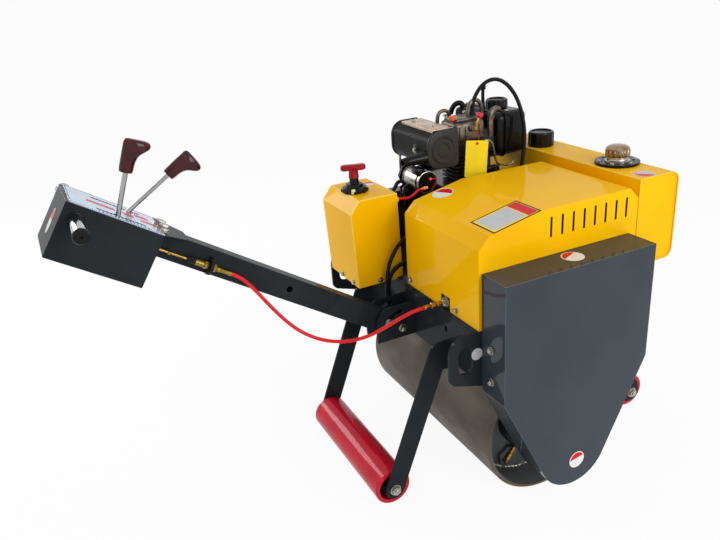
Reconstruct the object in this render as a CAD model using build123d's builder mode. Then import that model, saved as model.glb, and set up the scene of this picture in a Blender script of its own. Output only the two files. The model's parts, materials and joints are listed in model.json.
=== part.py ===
# Walk-behind single-drum road roller: one wide smooth drum hung between two side plates,
# with an engine, a sheet-metal hood and a cross tank above it, a small support roller in
# front and behind, and a long pivoting handle with a control box at its end.
#
# Millimetres. The machine is drawn level, +X forward, +Y to its left, +Z up, its origin on
# the ground below the middle of the drum. It is then leaned back about the drum's axis
# until its rear support roller stands on the ground, which is how it parks.
from build123d import *
from math import asin, atan2, cos, degrees, hypot, radians, sin
import os

os.makedirs("parts", exist_ok=True)

seat = 0.3  # gap between a piece and the seat that it rests on
shaft_fit = 0.05  # radial clearance of a turning bore on its shaft
sheet = 2.5  # wall of the folded sheet-metal covers

# Drum
drum_radius = 204
drum_width = 700
drum_wall = 12
drum_edge = 4  # chamfer on the shell's outer edges
disc_inset = 94  # from the drum's end to the recessed end disc
disc_thick = 12
hub_radius = 58
hub_length = 62
stub_radius = 35
stub_flange_radius = 95
stub_flange_thick = 14

# Side plates, with a tie-down hole at each end
plate_gap = 12  # between the drum's end and a side plate
plate_thick = 10
plate_half_length = 340
plate_top = 605
plate_lobe = 108
ear_corner = 50
tie_hole_width = 44
tie_hole_height = 80
tie_hole_x = 291
tie_hole_z = 532

# Cross beams and deck
beam_face = 255  # outer face of either beam, from the drum's axis
beam_depth = 50
beam_low = 456
beam_high = 597
beam_wall = 8
deck_thick = plate_top - beam_high

# Side covers
cover_half_width = 241
cover_top = 765
cover_corner = 430  # height at which the sides begin to slant
cover_lobe = 115
cover_wall = 3
cover_depths = {"right": 98, "left": 50}

# Support rollers: distance of the axle from the drum's axis, and its height
roller_radius = 55.7
roller_length = 450
roller_wall = 12.7
roller_recess = 30
roller_places = {"rear": (-450.6, 90), "front": (456, 105)}
axle_radius = 10
arm_thick = 8
arm_half_width = 30
arm_gap = 7  # between a roller's end and its arm
arm_root_low = 436
arm_root_high = 524

# Hood
hood_rear = -249
hood_front = 270
hood_inset = 2  # the hood's right face, in from the outer face of its side plate
hood_left = -5
hood_shoulder = 826
hood_chamfer = 32
hood_crest = 891
crest_start = -54
vent_count = 8
vent_pitch = 36.3
vent_first = -26
vent_height = 55
vent_width = 5
vent_middle = 841
port_width = 45
port_height = 41
port_y = -212.5

# Tank across the front
tank_rear = 271
tank_front = 415
tank_low = 655
tank_high = 910
tank_round = 28
tank_wall = 3
tank_lip = 5
filler_place = (320, 98)
filler_radius = 41
filler_height = 39
breather_place = (343, -212)
breather_radius = 63
breather_flange = 8
breather_cap_radius = 34
breather_cap_height = 34

# Battery box
box_rear = -380
box_front = -229
hose_box_clear = 4  # between the lower drive hose and the battery box's right face
box_left = 262
box_high = 868
box_shoulder = 830
box_chamfer = 33
box_lean = 11.5  # how far the rear face leans back over its height
tray_thick = 8
battery_size = (127, 186, 220)
switch_place = (-326, 158)
switch_radius = 38
switch_height = 20
knob_stem_radius = 12
knob_stem_height = 44
knob_length = 86
knob_width = 28
knob_thick = 16

# Engine
rail_height = 20
case_rear, case_front = -75, 140
case_right, case_left = 70, 284
case_top = 850
barrel_rear, barrel_front = -10, 98
barrel_right, barrel_left = 90, 180
barrel_top = 934
fin_count = 7
fin_thick = 5
head_top = 970
rocker_top = 1036
flywheel_radius = 100
flywheel_z = 742
flywheel_x = 42
flywheel_depth = 58
bell_thick = 14
starter_place = (-115, 870)
starter_radius = 37
starter_right, starter_left = 88, 200
starter_foot = 12
muffler_rear, muffler_front = -126, -18
muffler_right, muffler_left = 60, 290
muffler_low, muffler_high = 910, 1026
outlet_z = 950
outlet_y = 82
outlet_length = 78
air_radius = 32
air_place = (108, 214)
air_low, air_high = 972, 1052
fuel_rear, fuel_front = 150, 267
fuel_right, fuel_left = 100, 320
fuel_low, fuel_high = 900, 1036
fuel_round = 24
fuel_end = 8  # thickness of the tank's rounded ends
fuel_cap_radius = 35
fuel_cap_height = 27
fuel_cap_y = 185
pump_rear, pump_front = -72, 20
pump_right = 6
pump_low, pump_high = 640, 742

# Hoses, pipe and battery cables
hose_radius = 6
drive_hose_insets = (6, 20)  # upper and lower hose, from the right face of their block
pump_ports = (715, 665)
block_ports = (-299, -287)
block_clear = 4  # between the handle's left ear and the hose block
block_width = 31
block_high = 508
gland_length = 16
breather_stub = (80, 132, 1050)
breather_end = (182, 52, 622)
fuel_pipe_radius = 3
fuel_pipe_start = (92, 88, 964)
fuel_pipe_end = (215, 103, 892)
red_cable_radius = 4
red_cable_start = (76, 843)  # y and z on the battery box
red_stud = (-136, 84, 855)
black_cable_radius = 6
black_cable_start = (130, 848)
black_stud = (-164, 160, 868)

# Handle: its pivot, and its slope above the level when it rests on its stop
pivot_x, pivot_z = -301, 492
handle_slope = 33.2
handle_y = -12
lift_range = 57
arm_width = 50
arm_low, arm_high = -39, 26
arm_wall = 4
arm_end = 775
ear_thick = 8
ear_gap = 5
ear_rear = -382
ear_low, ear_high = 460, 566
ear_round = 45
guide_radius = 52
pin_radius = 8
pin_head = 14
pin_head_thick = 3
guide_slot = 14
cable_clear = 13  # from the handle arm's side to the middle of the control cable's fitting

# Control box, along the handle
control_near, control_far = 775, 1005
control_low, control_high = -107, 27
control_right, control_left = -96, 72
panel_thick = 2
panel_margin = 3
panel_rear_margin = 8
arm_hole = (388, -7, 9)  # along, up, radius
wing_near = 700
wing_thick = 3
wing_width = 78
grip_along, grip_up = 972, -8
grip_radius = 18
grip_length = 125
grip_plug = 8
lever_pivot = (870, -35)
lever_rod = 6
lever_slot = (815, 935)
lever_slot_width = 13
lever_tips = {-64: (907, 128), 38: (790, 146)}
knob_height = 78

roller_x, roller_z = roller_places["rear"]
reach = hypot(roller_x, drum_radius - roller_z)
lean = asin((drum_radius - roller_radius) / reach) - asin((drum_radius - roller_z) / reach)
drum_axis = Axis((0, 0, drum_radius), (0, 1, 0))

plate_inner = drum_width / 2 + plate_gap
plate_outer = plate_inner + plate_thick
stub_end = drum_width / 2 - disc_inset - disc_thick - 6
hood_right = hood_inset - plate_outer
tank_half_length = plate_outer
cable_y = handle_y - arm_width / 2 - cable_clear
block_right = handle_y + arm_width / 2 + ear_gap + ear_thick + block_clear
block_left = block_right + block_width
drive_hose_y = [block_right + inset for inset in drive_hose_insets]  # upper hose, lower hose
box_right = drive_hose_y[1] + hose_radius + hose_box_clear


def side_view(y):
    """Upright plane at this y: X across, Z up, facing the machine's right."""
    return Plane(origin=(0, y, 0), x_dir=(1, 0, 0), z_dir=(0, -1, 0))


def rear_view(x):
    """Upright plane at this x: Y across, Z up, facing forward."""
    return Plane(origin=(x, 0, 0), x_dir=(0, 1, 0), z_dir=(1, 0, 0))


def handle_point(along, up, y):
    """A point given along the handle from its pivot, square up from it, and by its y."""
    slope = radians(handle_slope)
    x = pivot_x - along * cos(slope) + up * sin(slope)
    z = pivot_z + along * sin(slope) + up * cos(slope)
    return (x, y, z)


def handle_view(y):
    """Plane along the handle at this y: distance from the pivot across, and square up."""
    slope = radians(handle_slope)
    return Plane(origin=(pivot_x, y, pivot_z), x_dir=(-cos(slope), 0, sin(slope)), z_dir=(0, 1, 0))


def handle_top(up):
    """Plane over the handle: distance from the pivot across, and the machine's right up."""
    slope = radians(handle_slope)
    return Plane(origin=handle_point(0, up, 0), x_dir=(-cos(slope), 0, sin(slope)),
                 z_dir=(sin(slope), 0, cos(slope)))


def corner_near(sketch, across, up):
    """The sketch's corner nearest to a place in its own plane."""
    return min(sketch.vertices(), key=lambda v: hypot(v.X - across, v.Y - up))


def tangent_point(corner, middle, radius):
    """Where a line from the corner touches a circle, on the side away from the axis."""
    across, up = corner[0] - middle[0], corner[1] - middle[1]
    distance = hypot(across, up)
    turn = atan2(up, across) - asin((distance ** 2 - radius ** 2) ** 0.5 / distance)
    return (middle[0] + radius * cos(turn), middle[1] + radius * sin(turn))


def tube(points, radius, clip=0.45):
    """A round cord through the points: straight runs joined by the largest arcs they allow."""
    runs = [Vector(*b) - Vector(*a) for a, b in zip(points, points[1:])]
    turns = [a.get_angle(b) for a, b in zip(runs, runs[1:])]
    radii = [clip * min(a.length, b.length) / abs(sin(radians(t / 2)) / cos(radians(t / 2)))
             for a, b, t in zip(runs, runs[1:], turns)]
    print("runs", [round(r.length) for r in runs], "radii", [round(r) for r in radii])
    with BuildPart() as cord:
        with BuildLine() as route:
            FilletPolyline(*points, radius=radii)
        with BuildSketch(Plane(origin=points[0], z_dir=runs[0])):
            Circle(radius)
        sweep(path=route.wires()[0])
    area = 3.14159265 * radius ** 2
    print("  volume over section times length", round(cord.part.volume / area / route.wires()[0].length, 4))
    return cord


# ---------------------------------------------------------------- drum
with BuildPart() as drum_shell:
    with BuildSketch(side_view(drum_width / 2)):
        with Locations((0, drum_radius)):
            Circle(drum_radius)
            Circle(drum_radius - drum_wall, mode=Mode.SUBTRACT)
    extrude(amount=drum_width)
    rims = drum_shell.edges().filter_by(GeomType.CIRCLE).sort_by(SortBy.RADIUS)[-2:]
    chamfer(rims, drum_edge)

disc_outer = drum_width / 2 - disc_inset
with BuildPart() as drum_discs:
    for sign in (1, -1):
        with BuildSketch(side_view(sign * disc_outer)):
            with Locations((0, drum_radius)):
                Circle(drum_radius - drum_wall - seat)
                Circle(stub_radius + shaft_fit, mode=Mode.SUBTRACT)
        extrude(amount=sign * disc_thick)
        with BuildSketch(side_view(sign * disc_outer)):
            with Locations((0, drum_radius)):
                Circle(hub_radius)
                Circle(stub_radius + shaft_fit, mode=Mode.SUBTRACT)
        extrude(amount=-sign * hub_length)

with BuildPart() as axle_stubs:
    for sign in (1, -1):
        with BuildSketch(side_view(sign * plate_inner)):
            with Locations((0, drum_radius)):
                Circle(stub_flange_radius)
        extrude(amount=sign * stub_flange_thick)
        with BuildSketch(side_view(sign * plate_inner)):
            with Locations((0, drum_radius)):
                Circle(stub_radius)
        extrude(amount=sign * (plate_inner - stub_end))


# ---------------------------------------------------------------- frame
def side_plate(outer_y, inner_y):
    """One side plate: shield shape with a lobe at the drum's axis and two tie-down ears."""
    corner = (cover_half_width - cover_wall - seat, beam_low - 16)
    touch = tangent_point(corner, (0, drum_radius), plate_lobe)
    half = [(plate_half_length, plate_top), (plate_half_length, beam_low + 16), corner, touch]
    outline = half + [(-x, z) for x, z in reversed(half)]
    with BuildPart() as plate:
        with BuildSketch(side_view(max(outer_y, inner_y))) as face:
            with BuildLine():
                Polyline(*outline, close=True)
            make_face()
            for sign in (1, -1):
                fillet(corner_near(face, sign * plate_half_length, plate_top), ear_corner)
                fillet(corner_near(face, sign * plate_half_length, beam_low + 16), 24)
            with Locations((0, drum_radius)):
                Circle(plate_lobe)
            with Locations((tie_hole_x, tie_hole_z), (-tie_hole_x, tie_hole_z)):
                SlotOverall(tie_hole_height, tie_hole_width, rotation=90, mode=Mode.SUBTRACT)
        extrude(amount=abs(outer_y - inner_y))
    return plate


side_plate_right = side_plate(-plate_outer, -plate_inner)
side_plate_left = side_plate(plate_outer, plate_inner)


def cross_beam(side):
    """A channel beam between the side plates, open towards the drum."""
    web = side * beam_face
    lip = side * (beam_face - beam_depth)
    inner = side * (beam_face - beam_wall)
    with BuildPart() as beam:
        with BuildSketch(side_view(plate_inner)):
            with BuildLine():
                Polyline((web, beam_low), (web, beam_high), (lip, beam_high), (lip, beam_high - beam_wall),
                         (inner, beam_high - beam_wall), (inner, beam_low + beam_wall),
                         (lip, beam_low + beam_wall), (lip, beam_low), close=True)
            make_face()
        extrude(amount=2 * plate_inner)
        if side < 0:
            with BuildSketch(rear_view(web)):
                with Locations((port_y - 8, beam_high - 48)):
                    SlotOverall(20, 11, rotation=90)
            extrude(amount=beam_wall, mode=Mode.SUBTRACT)
    return beam


rear_beam = cross_beam(-1)
front_beam = cross_beam(1)

with BuildPart() as deck:
    with BuildSketch(Plane.XY.offset(beam_high)):
        Rectangle(2 * beam_face - 2, 2 * plate_inner - 1)
        with Locations(((box_front - beam_face) / 2 - 10, (box_right + box_left) / 2)):
            Rectangle(beam_face + box_front + 28, box_left - box_right + 12, mode=Mode.SUBTRACT)
    extrude(amount=deck_thick)


def side_cover(side):
    """A folded shield-shaped box, open on the side where it meets its side plate."""
    depth = cover_depths["left" if side > 0 else "right"]
    corner = (cover_half_width, cover_corner)
    touch = tangent_point(corner, (0, drum_radius), cover_lobe)
    half = [(cover_half_width, cover_top), corner, touch]
    outline = half + [(-x, z) for x, z in reversed(half)]
    outer_y = side * (plate_outer + depth)
    with BuildPart() as cover:
        with BuildSketch(side_view(outer_y)):
            with BuildLine():
                Polyline(*outline, close=True)
            make_face()
            with Locations((0, drum_radius)):
                Circle(cover_lobe)
        extrude(amount=side * depth)
        with BuildSketch(side_view(outer_y - side * cover_wall)):
            with BuildLine():
                Polyline(*outline, close=True)
            make_face()
            with Locations((0, drum_radius)):
                Circle(cover_lobe)
            offset(amount=-cover_wall, kind=Kind.INTERSECTION)
        extrude(amount=side * (depth - cover_wall), mode=Mode.SUBTRACT)
    return cover


side_cover_right = side_cover(-1)
side_cover_left = side_cover(1)


# ---------------------------------------------------------------- support rollers
def roller_bracket(place):
    """Two cranked arms on a cross beam, with the fixed axle between their ends."""
    x, z = roller_places[place]
    side = -1 if x < 0 else 1
    root_x = side * beam_face
    middle = (arm_root_low + arm_root_high) / 2
    knee = (root_x + side * 40, middle)
    slope = atan2(knee[1] - z, knee[0] - x)
    off_x = arm_half_width / sin(slope)

    def on_edge(height, shift):
        return (x + (height - z) * cos(slope) / sin(slope) + shift, height)

    with BuildPart() as bracket:
        for face in (roller_length / 2 + arm_gap + arm_thick, -roller_length / 2 - arm_gap):
            with BuildSketch(side_view(face)) as arm:
                with BuildLine():
                    foot = (x + arm_half_width * sin(slope), z - arm_half_width * cos(slope))
                    heel = (x - arm_half_width * sin(slope), z + arm_half_width * cos(slope))
                    Polyline((root_x, arm_root_low), on_edge(arm_root_low, -side * abs(off_x)),
                             heel if side > 0 else foot, foot if side > 0 else heel,
                             on_edge(arm_root_high, side * abs(off_x)), (root_x, arm_root_high),
                             close=True)
                make_face()
                fillet(corner_near(arm, *on_edge(arm_root_high, side * abs(off_x))), 38)
                with Locations((x, z)):
                    Circle(arm_half_width)
            extrude(amount=arm_thick)
        tip = roller_length / 2 + arm_gap + arm_thick + 6
        with BuildSketch(side_view(tip)):
            with Locations((x, z)):
                Circle(axle_radius)
        extrude(amount=2 * tip)
    return bracket


def roller_sleeve(place):
    """The roller's soft tyre: a plain thick-walled tube."""
    with BuildPart() as sleeve:
        with BuildSketch(side_view(roller_length / 2)):
            with Locations(roller_places[place]):
                Circle(roller_radius)
                Circle(roller_radius - roller_wall, mode=Mode.SUBTRACT)
        extrude(amount=roller_length)
        fillet(sleeve.edges().filter_by(GeomType.CIRCLE).sort_by(SortBy.RADIUS)[-2:], 3)
    return sleeve


def roller_core(place):
    """The tube inside the sleeve, with an end disc and a hub at each end."""
    bore = axle_radius + shaft_fit
    outer = roller_radius - roller_wall - seat
    end = roller_length / 2 - roller_recess
    with BuildPart() as core:
        with BuildSketch(side_view(end)):
            with Locations(roller_places[place]):
                Circle(outer)
                Circle(outer - 5, mode=Mode.SUBTRACT)
        extrude(amount=2 * end)
        for sign in (1, -1):
            with BuildSketch(side_view(sign * end)):
                with Locations(roller_places[place]):
                    Circle(outer)
                    Circle(bore, mode=Mode.SUBTRACT)
            extrude(amount=sign * 10)
            with BuildSketch(side_view(sign * (roller_length / 2 + 1))):
                with Locations(roller_places[place]):
                    Circle(axle_radius + 8)
                    Circle(bore, mode=Mode.SUBTRACT)
            extrude(amount=sign * (roller_recess + 16))
    return core


rear_roller_bracket = roller_bracket("rear")
front_roller_bracket = roller_bracket("front")
rear_roller_sleeve = roller_sleeve("rear")
front_roller_sleeve = roller_sleeve("front")
rear_roller_core = roller_core("rear")
front_roller_core = roller_core("front")


# ---------------------------------------------------------------- hood and tank
def hood_outline(bottom):
    return [(hood_rear, bottom), (hood_rear, hood_shoulder),
            (hood_rear + hood_chamfer, hood_shoulder + hood_chamfer), (crest_start, hood_crest),
            (hood_front - hood_chamfer, hood_crest), (hood_front, hood_crest - hood_chamfer),
            (hood_front, bottom)]


with BuildPart() as hood:
    with BuildSketch(side_view(hood_left)):
        with BuildLine():
            Polyline(*hood_outline(plate_top), close=True)
        make_face()
    extrude(amount=hood_left - hood_right)
    with BuildSketch(side_view(hood_left - sheet)):
        with BuildLine():
            Polyline(*hood_outline(plate_top - 3 * sheet), close=True)
        make_face()
        offset(amount=-sheet, kind=Kind.INTERSECTION)
    extrude(amount=hood_left - hood_right - 2 * sheet, mode=Mode.SUBTRACT)
    with BuildSketch(side_view(hood_right + sheet)):
        with Locations(*[(vent_first + vent_pitch * i, vent_middle) for i in range(vent_count)]):
            SlotOverall(vent_height, vent_width, rotation=90)
    extrude(amount=sheet, mode=Mode.SUBTRACT)
    with BuildSketch(rear_view(hood_rear)):
        with Locations((port_y, plate_top + port_height / 2)):
            Rectangle(port_width, port_height)
    extrude(amount=sheet, mode=Mode.SUBTRACT)


tank_cuts = [  # inset from the outside, half length, mode
    (0, tank_half_length, Mode.ADD),
    (tank_wall, tank_half_length - tank_lip - tank_wall, Mode.SUBTRACT),
]
with BuildPart() as tank:
    for inset, half, mode in tank_cuts:
        with BuildSketch(side_view(half)) as section:
            with Locations(((tank_rear + tank_front) / 2, (tank_low + tank_high) / 2)):
                Rectangle(tank_front - tank_rear - 2 * inset, tank_high - tank_low - 2 * inset)
            fillet(section.vertices().group_by(Axis.X)[-1], tank_round - inset)
        extrude(amount=2 * half, mode=mode)
    for sign in (1, -1):
        with BuildSketch(side_view(sign * tank_half_length)) as section:
            with Locations(((tank_rear + tank_front) / 2, (tank_low + tank_high) / 2)):
                Rectangle(tank_front - tank_rear - 2 * tank_wall, tank_high - tank_low - 2 * tank_wall)
            fillet(section.vertices().group_by(Axis.X)[-1], tank_round - tank_wall)
        extrude(amount=sign * tank_lip, mode=Mode.SUBTRACT)
    with BuildSketch(Plane.XY.offset(tank_high)):
        with Locations(filler_place):
            Circle(filler_radius - 12)
        with Locations(breather_place):
            Circle(breather_radius - 24)
    extrude(amount=-tank_wall, mode=Mode.SUBTRACT)

with BuildPart() as tank_brackets:
    for y in (-150, 150):
        with BuildSketch(side_view(y + arm_thick / 2)):
            with BuildLine():
                Polyline((beam_face, beam_low + 60), (beam_face, beam_high), (tank_rear, beam_high),
                         (tank_rear, tank_low), (tank_front - 20, tank_low),
                         (tank_front - 20, tank_low - 16), close=True)
            make_face()
        extrude(amount=arm_thick)

with BuildPart() as filler_caps:
    with BuildSketch(Plane.XY.offset(tank_high)):
        with Locations(filler_place):
            Circle(filler_radius)
    extrude(amount=filler_height)
    fillet(filler_caps.edges().filter_by(GeomType.CIRCLE).sort_by(Axis.Z)[-1], 4)
    with BuildSketch(Plane.XY.offset(tank_high + filler_height)):
        with Locations(filler_place):
            Circle(filler_radius - 14)
    extrude(amount=-12, mode=Mode.SUBTRACT)
    with BuildSketch(Plane.XY.offset(fuel_high)):
        with Locations(((fuel_rear + fuel_front) / 2, fuel_cap_y)):
            Circle(fuel_cap_radius)
    extrude(amount=fuel_cap_height)
    fillet(filler_caps.edges().filter_by(GeomType.CIRCLE).sort_by(Axis.Z)[-1], 5)

with BuildPart() as oil_breather:
    with BuildSketch(Plane.XY.offset(tank_high)):
        with Locations(breather_place):
            Circle(breather_radius)
    extrude(amount=breather_flange)
    with BuildSketch(Plane.XY.offset(tank_high + breather_flange)):
        with Locations(breather_place):
            Circle(breather_cap_radius - 6)
    extrude(amount=12)
    with BuildSketch(Plane.XY.offset(tank_high + breather_flange + 12)):
        with Locations(breather_place):
            Circle(breather_cap_radius)
    extrude(amount=breather_cap_height)
    fillet(oil_breather.edges().filter_by(GeomType.CIRCLE).sort_by(Axis.Z)[-1], 12)


# ---------------------------------------------------------------- battery
def battery_box_outline(inset, bottom):
    """The box leans back a little; its top rear edge is cut off at a slant."""
    rise = box_high - beam_high
    return [(box_rear + inset, bottom),
            (box_rear - box_lean * (box_shoulder - beam_high) / rise + inset, box_shoulder - inset / 2),
            (box_rear - box_lean + box_chamfer + inset / 2, box_high - inset),
            (box_front - box_lean * 0.6 - inset, box_high - inset),
            (box_front - inset, bottom)]


with BuildPart() as battery_box:
    with BuildSketch(side_view(box_left)):
        with BuildLine():
            Polyline(*battery_box_outline(0, beam_high), close=True)
        make_face()
    extrude(amount=box_left - box_right)
    with BuildSketch(side_view(box_left - sheet)):
        with BuildLine():
            Polyline(*battery_box_outline(sheet, beam_high - 1), close=True)
        make_face()
    extrude(amount=box_left - box_right - 2 * sheet, mode=Mode.SUBTRACT)
    with BuildSketch(rear_view(box_front - 7)):
        with Locations(red_cable_start, black_cable_start):
            Circle(9)
    extrude(amount=9)

with BuildPart() as battery_tray:
    with BuildSketch(Plane.XY.offset(beam_high)):
        with Locations(((box_rear + box_front) / 2, (box_right + box_left) / 2)):
            Rectangle(box_front - box_rear - 2 * sheet - 2 * seat - 1,
                      box_left - box_right - 2 * sheet - 2 * seat)
    extrude(amount=tray_thick)

with BuildPart() as battery:
    with BuildSketch(Plane.XY.offset(beam_high + tray_thick)):
        with Locations(((box_rear + box_front) / 2, (box_right + box_left) / 2)):
            Rectangle(battery_size[0], battery_size[1])
    extrude(amount=battery_size[2])

with BuildPart() as battery_switch:
    with BuildSketch(Plane.XY.offset(box_high)):
        with Locations(switch_place):
            RectangleRounded(2 * switch_radius, 2 * switch_radius, 14)
    extrude(amount=switch_height - 6)
    with BuildSketch(Plane.XY.offset(box_high + switch_height - 6)):
        with Locations(switch_place):
            Circle(switch_radius - 6)
    extrude(amount=6)
    with BuildSketch(Plane.XY.offset(box_high + switch_height)):
        with Locations(switch_place):
            Circle(knob_stem_radius)
    extrude(amount=knob_stem_height)
    with BuildSketch(Plane.XY.offset(box_high + switch_height + knob_stem_height)):
        with Locations(switch_place):
            RectangleRounded(knob_length, knob_width, 12)
    extrude(amount=knob_thick)
    fillet(battery_switch.edges().group_by(Axis.Z)[-1], 5)


# ---------------------------------------------------------------- engine
case_base = beam_high + deck_thick + rail_height
with BuildPart() as engine_mounts:
    for y in (case_right + 22, case_left - 22):
        with BuildSketch(Plane.XY.offset(plate_top)):
            with Locations(((case_rear + case_front) / 2, y)):
                Rectangle(case_front - case_rear + 60, 40)
        extrude(amount=rail_height)
    with BuildSketch(side_view(fuel_left - 30)):
        with BuildLine():
            Polyline((case_front, case_top - 60), (case_front, fuel_low), (fuel_front - 20, fuel_low),
                     (fuel_front - 20, fuel_low - 6), (case_front + 6, fuel_low - 6),
                     (case_front + 6, case_top - 60), close=True)
        make_face()
    extrude(amount=fuel_left - fuel_right - 60)

with BuildPart() as crankcase:
    with BuildSketch(Plane.XY.offset(case_base)):
        with Locations(((case_rear + case_front) / 2, (case_right + case_left) / 2)):
            Rectangle(case_front - case_rear, case_left - case_right)
    extrude(amount=case_top - case_base)
    fillet(crankcase.edges().filter_by(Axis.Y).group_by(Axis.Z)[-1], 12)
    fillet(crankcase.edges().filter_by(Axis.Z), 10)
    starter_x, starter_z = starter_place
    with BuildSketch(side_view(starter_left + starter_foot)):
        with BuildLine():
            Polyline((case_rear + 6, case_top - 60), (starter_x - 22, starter_z - 28), (starter_x - 34, starter_z),
                     (starter_x - 22, starter_z + 28), (starter_x + 22, starter_z + 28),
                     (case_rear + 6, case_top - 18), close=True)
        make_face()
    extrude(amount=starter_foot)

barrel_middle = ((barrel_rear + barrel_front) / 2, (barrel_right + barrel_left) / 2)
barrel_plan = (barrel_front - barrel_rear, barrel_left - barrel_right)
fin_pitch = (barrel_top - case_top) / fin_count
with BuildPart() as cylinder:
    with BuildSketch(Plane.XY.offset(case_top)):
        with Locations(barrel_middle):
            Rectangle(barrel_plan[0] - 26, barrel_plan[1] - 26)
    extrude(amount=barrel_top - case_top)
    for i in range(fin_count):
        with BuildSketch(Plane.XY.offset(case_top + fin_pitch * (i + 0.5))):
            with Locations(barrel_middle):
                RectangleRounded(*barrel_plan, 12)
        extrude(amount=fin_thick)
    with BuildSketch(Plane.XY.offset(barrel_top)):
        with Locations(barrel_middle):
            RectangleRounded(*barrel_plan, 12)
    extrude(amount=head_top - barrel_top)
    with BuildSketch(Plane.XY.offset(head_top)):
        with Locations(barrel_middle):
            RectangleRounded(barrel_plan[0] - 8, barrel_plan[1] - 8, 16)
    extrude(amount=rocker_top - head_top)
    fillet(cylinder.edges().group_by(Axis.Z)[-1], 12)
    with BuildSketch(Plane.XY.offset(rocker_top)):
        with Locations(breather_stub[:2]):
            Circle(9)
    extrude(amount=breather_stub[2] - rocker_top)
    with BuildSketch(rear_view(fuel_pipe_start[0] - 20)):
        with Locations(fuel_pipe_start[1:]):
            Circle(7)
    extrude(amount=20)

with BuildPart() as flywheel_housing:
    with BuildSketch(side_view(case_left + bell_thick)):
        with BuildLine():
            Polyline((case_rear + 12, case_base + 6), (case_rear + 4, case_top - 20), (-20, case_top + 20),
                     (case_front, case_top), (case_front, case_base + 6), close=True)
        make_face()
    extrude(amount=bell_thick)
    with BuildSketch(side_view(case_left + bell_thick + flywheel_depth)):
        with Locations((flywheel_x, flywheel_z)):
            Circle(flywheel_radius)
    extrude(amount=flywheel_depth)
    fillet(flywheel_housing.edges().filter_by(GeomType.CIRCLE).sort_by(Axis.Y)[-1], 18)

with BuildPart() as starter_motor:
    with BuildSketch(side_view(starter_left)):
        with Locations(starter_place):
            Circle(starter_radius)
    extrude(amount=starter_left - starter_right)
    fillet(starter_motor.edges().filter_by(GeomType.CIRCLE).sort_by(Axis.Y)[0], 3)
    for stud in (red_stud, black_stud):
        with BuildSketch(rear_view(stud[0])):
            with Locations(stud[1:]):
                Circle(8)
        extrude(amount=starter_place[0] - stud[0])

with BuildPart() as muffler:
    with BuildSketch(side_view(muffler_left)) as shell:
        with Locations(((muffler_rear + muffler_front) / 2, (muffler_low + muffler_high) / 2)):
            Rectangle(muffler_front - muffler_rear, muffler_high - muffler_low)
        fillet(shell.vertices().group_by(Axis.X)[0], 42)
        fillet(shell.vertices().group_by(Axis.X)[-1], 18)
    extrude(amount=muffler_left - muffler_right)
    fillet(muffler.faces().filter_by(Axis.Y).edges(), 7)
    with BuildSketch(rear_view(muffler_front)):
        with Locations((barrel_middle[1], head_top - 20)):
            Circle(20)
    extrude(amount=barrel_rear - muffler_front)
    with BuildSketch(rear_view(muffler_rear + 6)):
        with Locations((outlet_y, outlet_z)):
            Circle(18)
    with BuildSketch(rear_view(muffler_rear - outlet_length)):
        with Locations((outlet_y, outlet_z)):
            Circle(12)
    loft()
    with BuildSketch(rear_view(muffler_rear - outlet_length)):
        with Locations((outlet_y, outlet_z)):
            Circle(9.5)
    extrude(amount=outlet_length - 20, mode=Mode.SUBTRACT)

with BuildPart() as air_filter:
    with BuildSketch(Plane.XY.offset(air_low)):
        with Locations(air_place):
            Circle(air_radius)
    extrude(amount=air_high - air_low)
    fillet(air_filter.edges().filter_by(GeomType.CIRCLE).sort_by(Axis.Z)[-1], 10)
    with BuildSketch(side_view(air_place[1])):
        with Locations((barrel_front - 18, head_top + 24)):
            Circle(13)
    extrude(amount=air_place[1] - barrel_left + 4)

with BuildPart() as fuel_tank:
    with BuildSketch(side_view(fuel_left)):
        with Locations(((fuel_rear + fuel_front) / 2, (fuel_low + fuel_high) / 2)):
            RectangleRounded(fuel_front - fuel_rear, fuel_high - fuel_low, fuel_round)
    extrude(amount=fuel_left - fuel_right)
    fillet(fuel_tank.faces().filter_by(Axis.Y).edges(), 12)
    with BuildSketch(side_view(fuel_left - fuel_end)):
        with Locations(((fuel_rear + fuel_front) / 2, (fuel_low + fuel_high) / 2)):
            RectangleRounded(fuel_front - fuel_rear - 2 * tank_wall, fuel_high - fuel_low - 2 * tank_wall,
                             fuel_round - tank_wall)
    extrude(amount=fuel_left - fuel_right - 2 * fuel_end, mode=Mode.SUBTRACT)
    with BuildSketch(Plane.XY.offset(fuel_high)):
        with Locations(((fuel_rear + fuel_front) / 2, fuel_cap_y)):
            Circle(22)
    extrude(amount=-2 * tank_wall, mode=Mode.SUBTRACT)
    with BuildSketch(Plane.XY.offset(fuel_pipe_end[2])):
        with Locations(fuel_pipe_end[:2]):
            Circle(8)
    extrude(amount=fuel_low + tank_wall - fuel_pipe_end[2])

with BuildPart() as hydraulic_pump:
    with BuildSketch(Plane.XY.offset(pump_low)):
        with Locations(((pump_rear + pump_front) / 2, (pump_right + case_right) / 2)):
            RectangleRounded(pump_front - pump_rear, case_right - pump_right, 12)
    extrude(amount=pump_high - pump_low)
    with BuildSketch(rear_view(pump_rear - gland_length)):
        with Locations(*zip(drive_hose_y, pump_ports)):
            Circle(hose_radius + 3)
    extrude(amount=gland_length + 4)

with BuildPart() as hose_fittings:
    with BuildSketch(rear_view(-beam_face)):
        with Locations(((block_right + block_left) / 2, block_high - 20)):
            Rectangle(block_left - block_right, 40)
    extrude(amount=-62)
    with BuildSketch(Plane.XY.offset(block_high)):
        with Locations(*zip(block_ports, drive_hose_y)):
            Circle(hose_radius + 2)
    extrude(amount=gland_length)
    with BuildSketch(Plane.XY.offset(plate_top)):
        with Locations(breather_end[:2]):
            Circle(hose_radius + 3)
    extrude(amount=breather_end[2] - plate_top)

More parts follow.
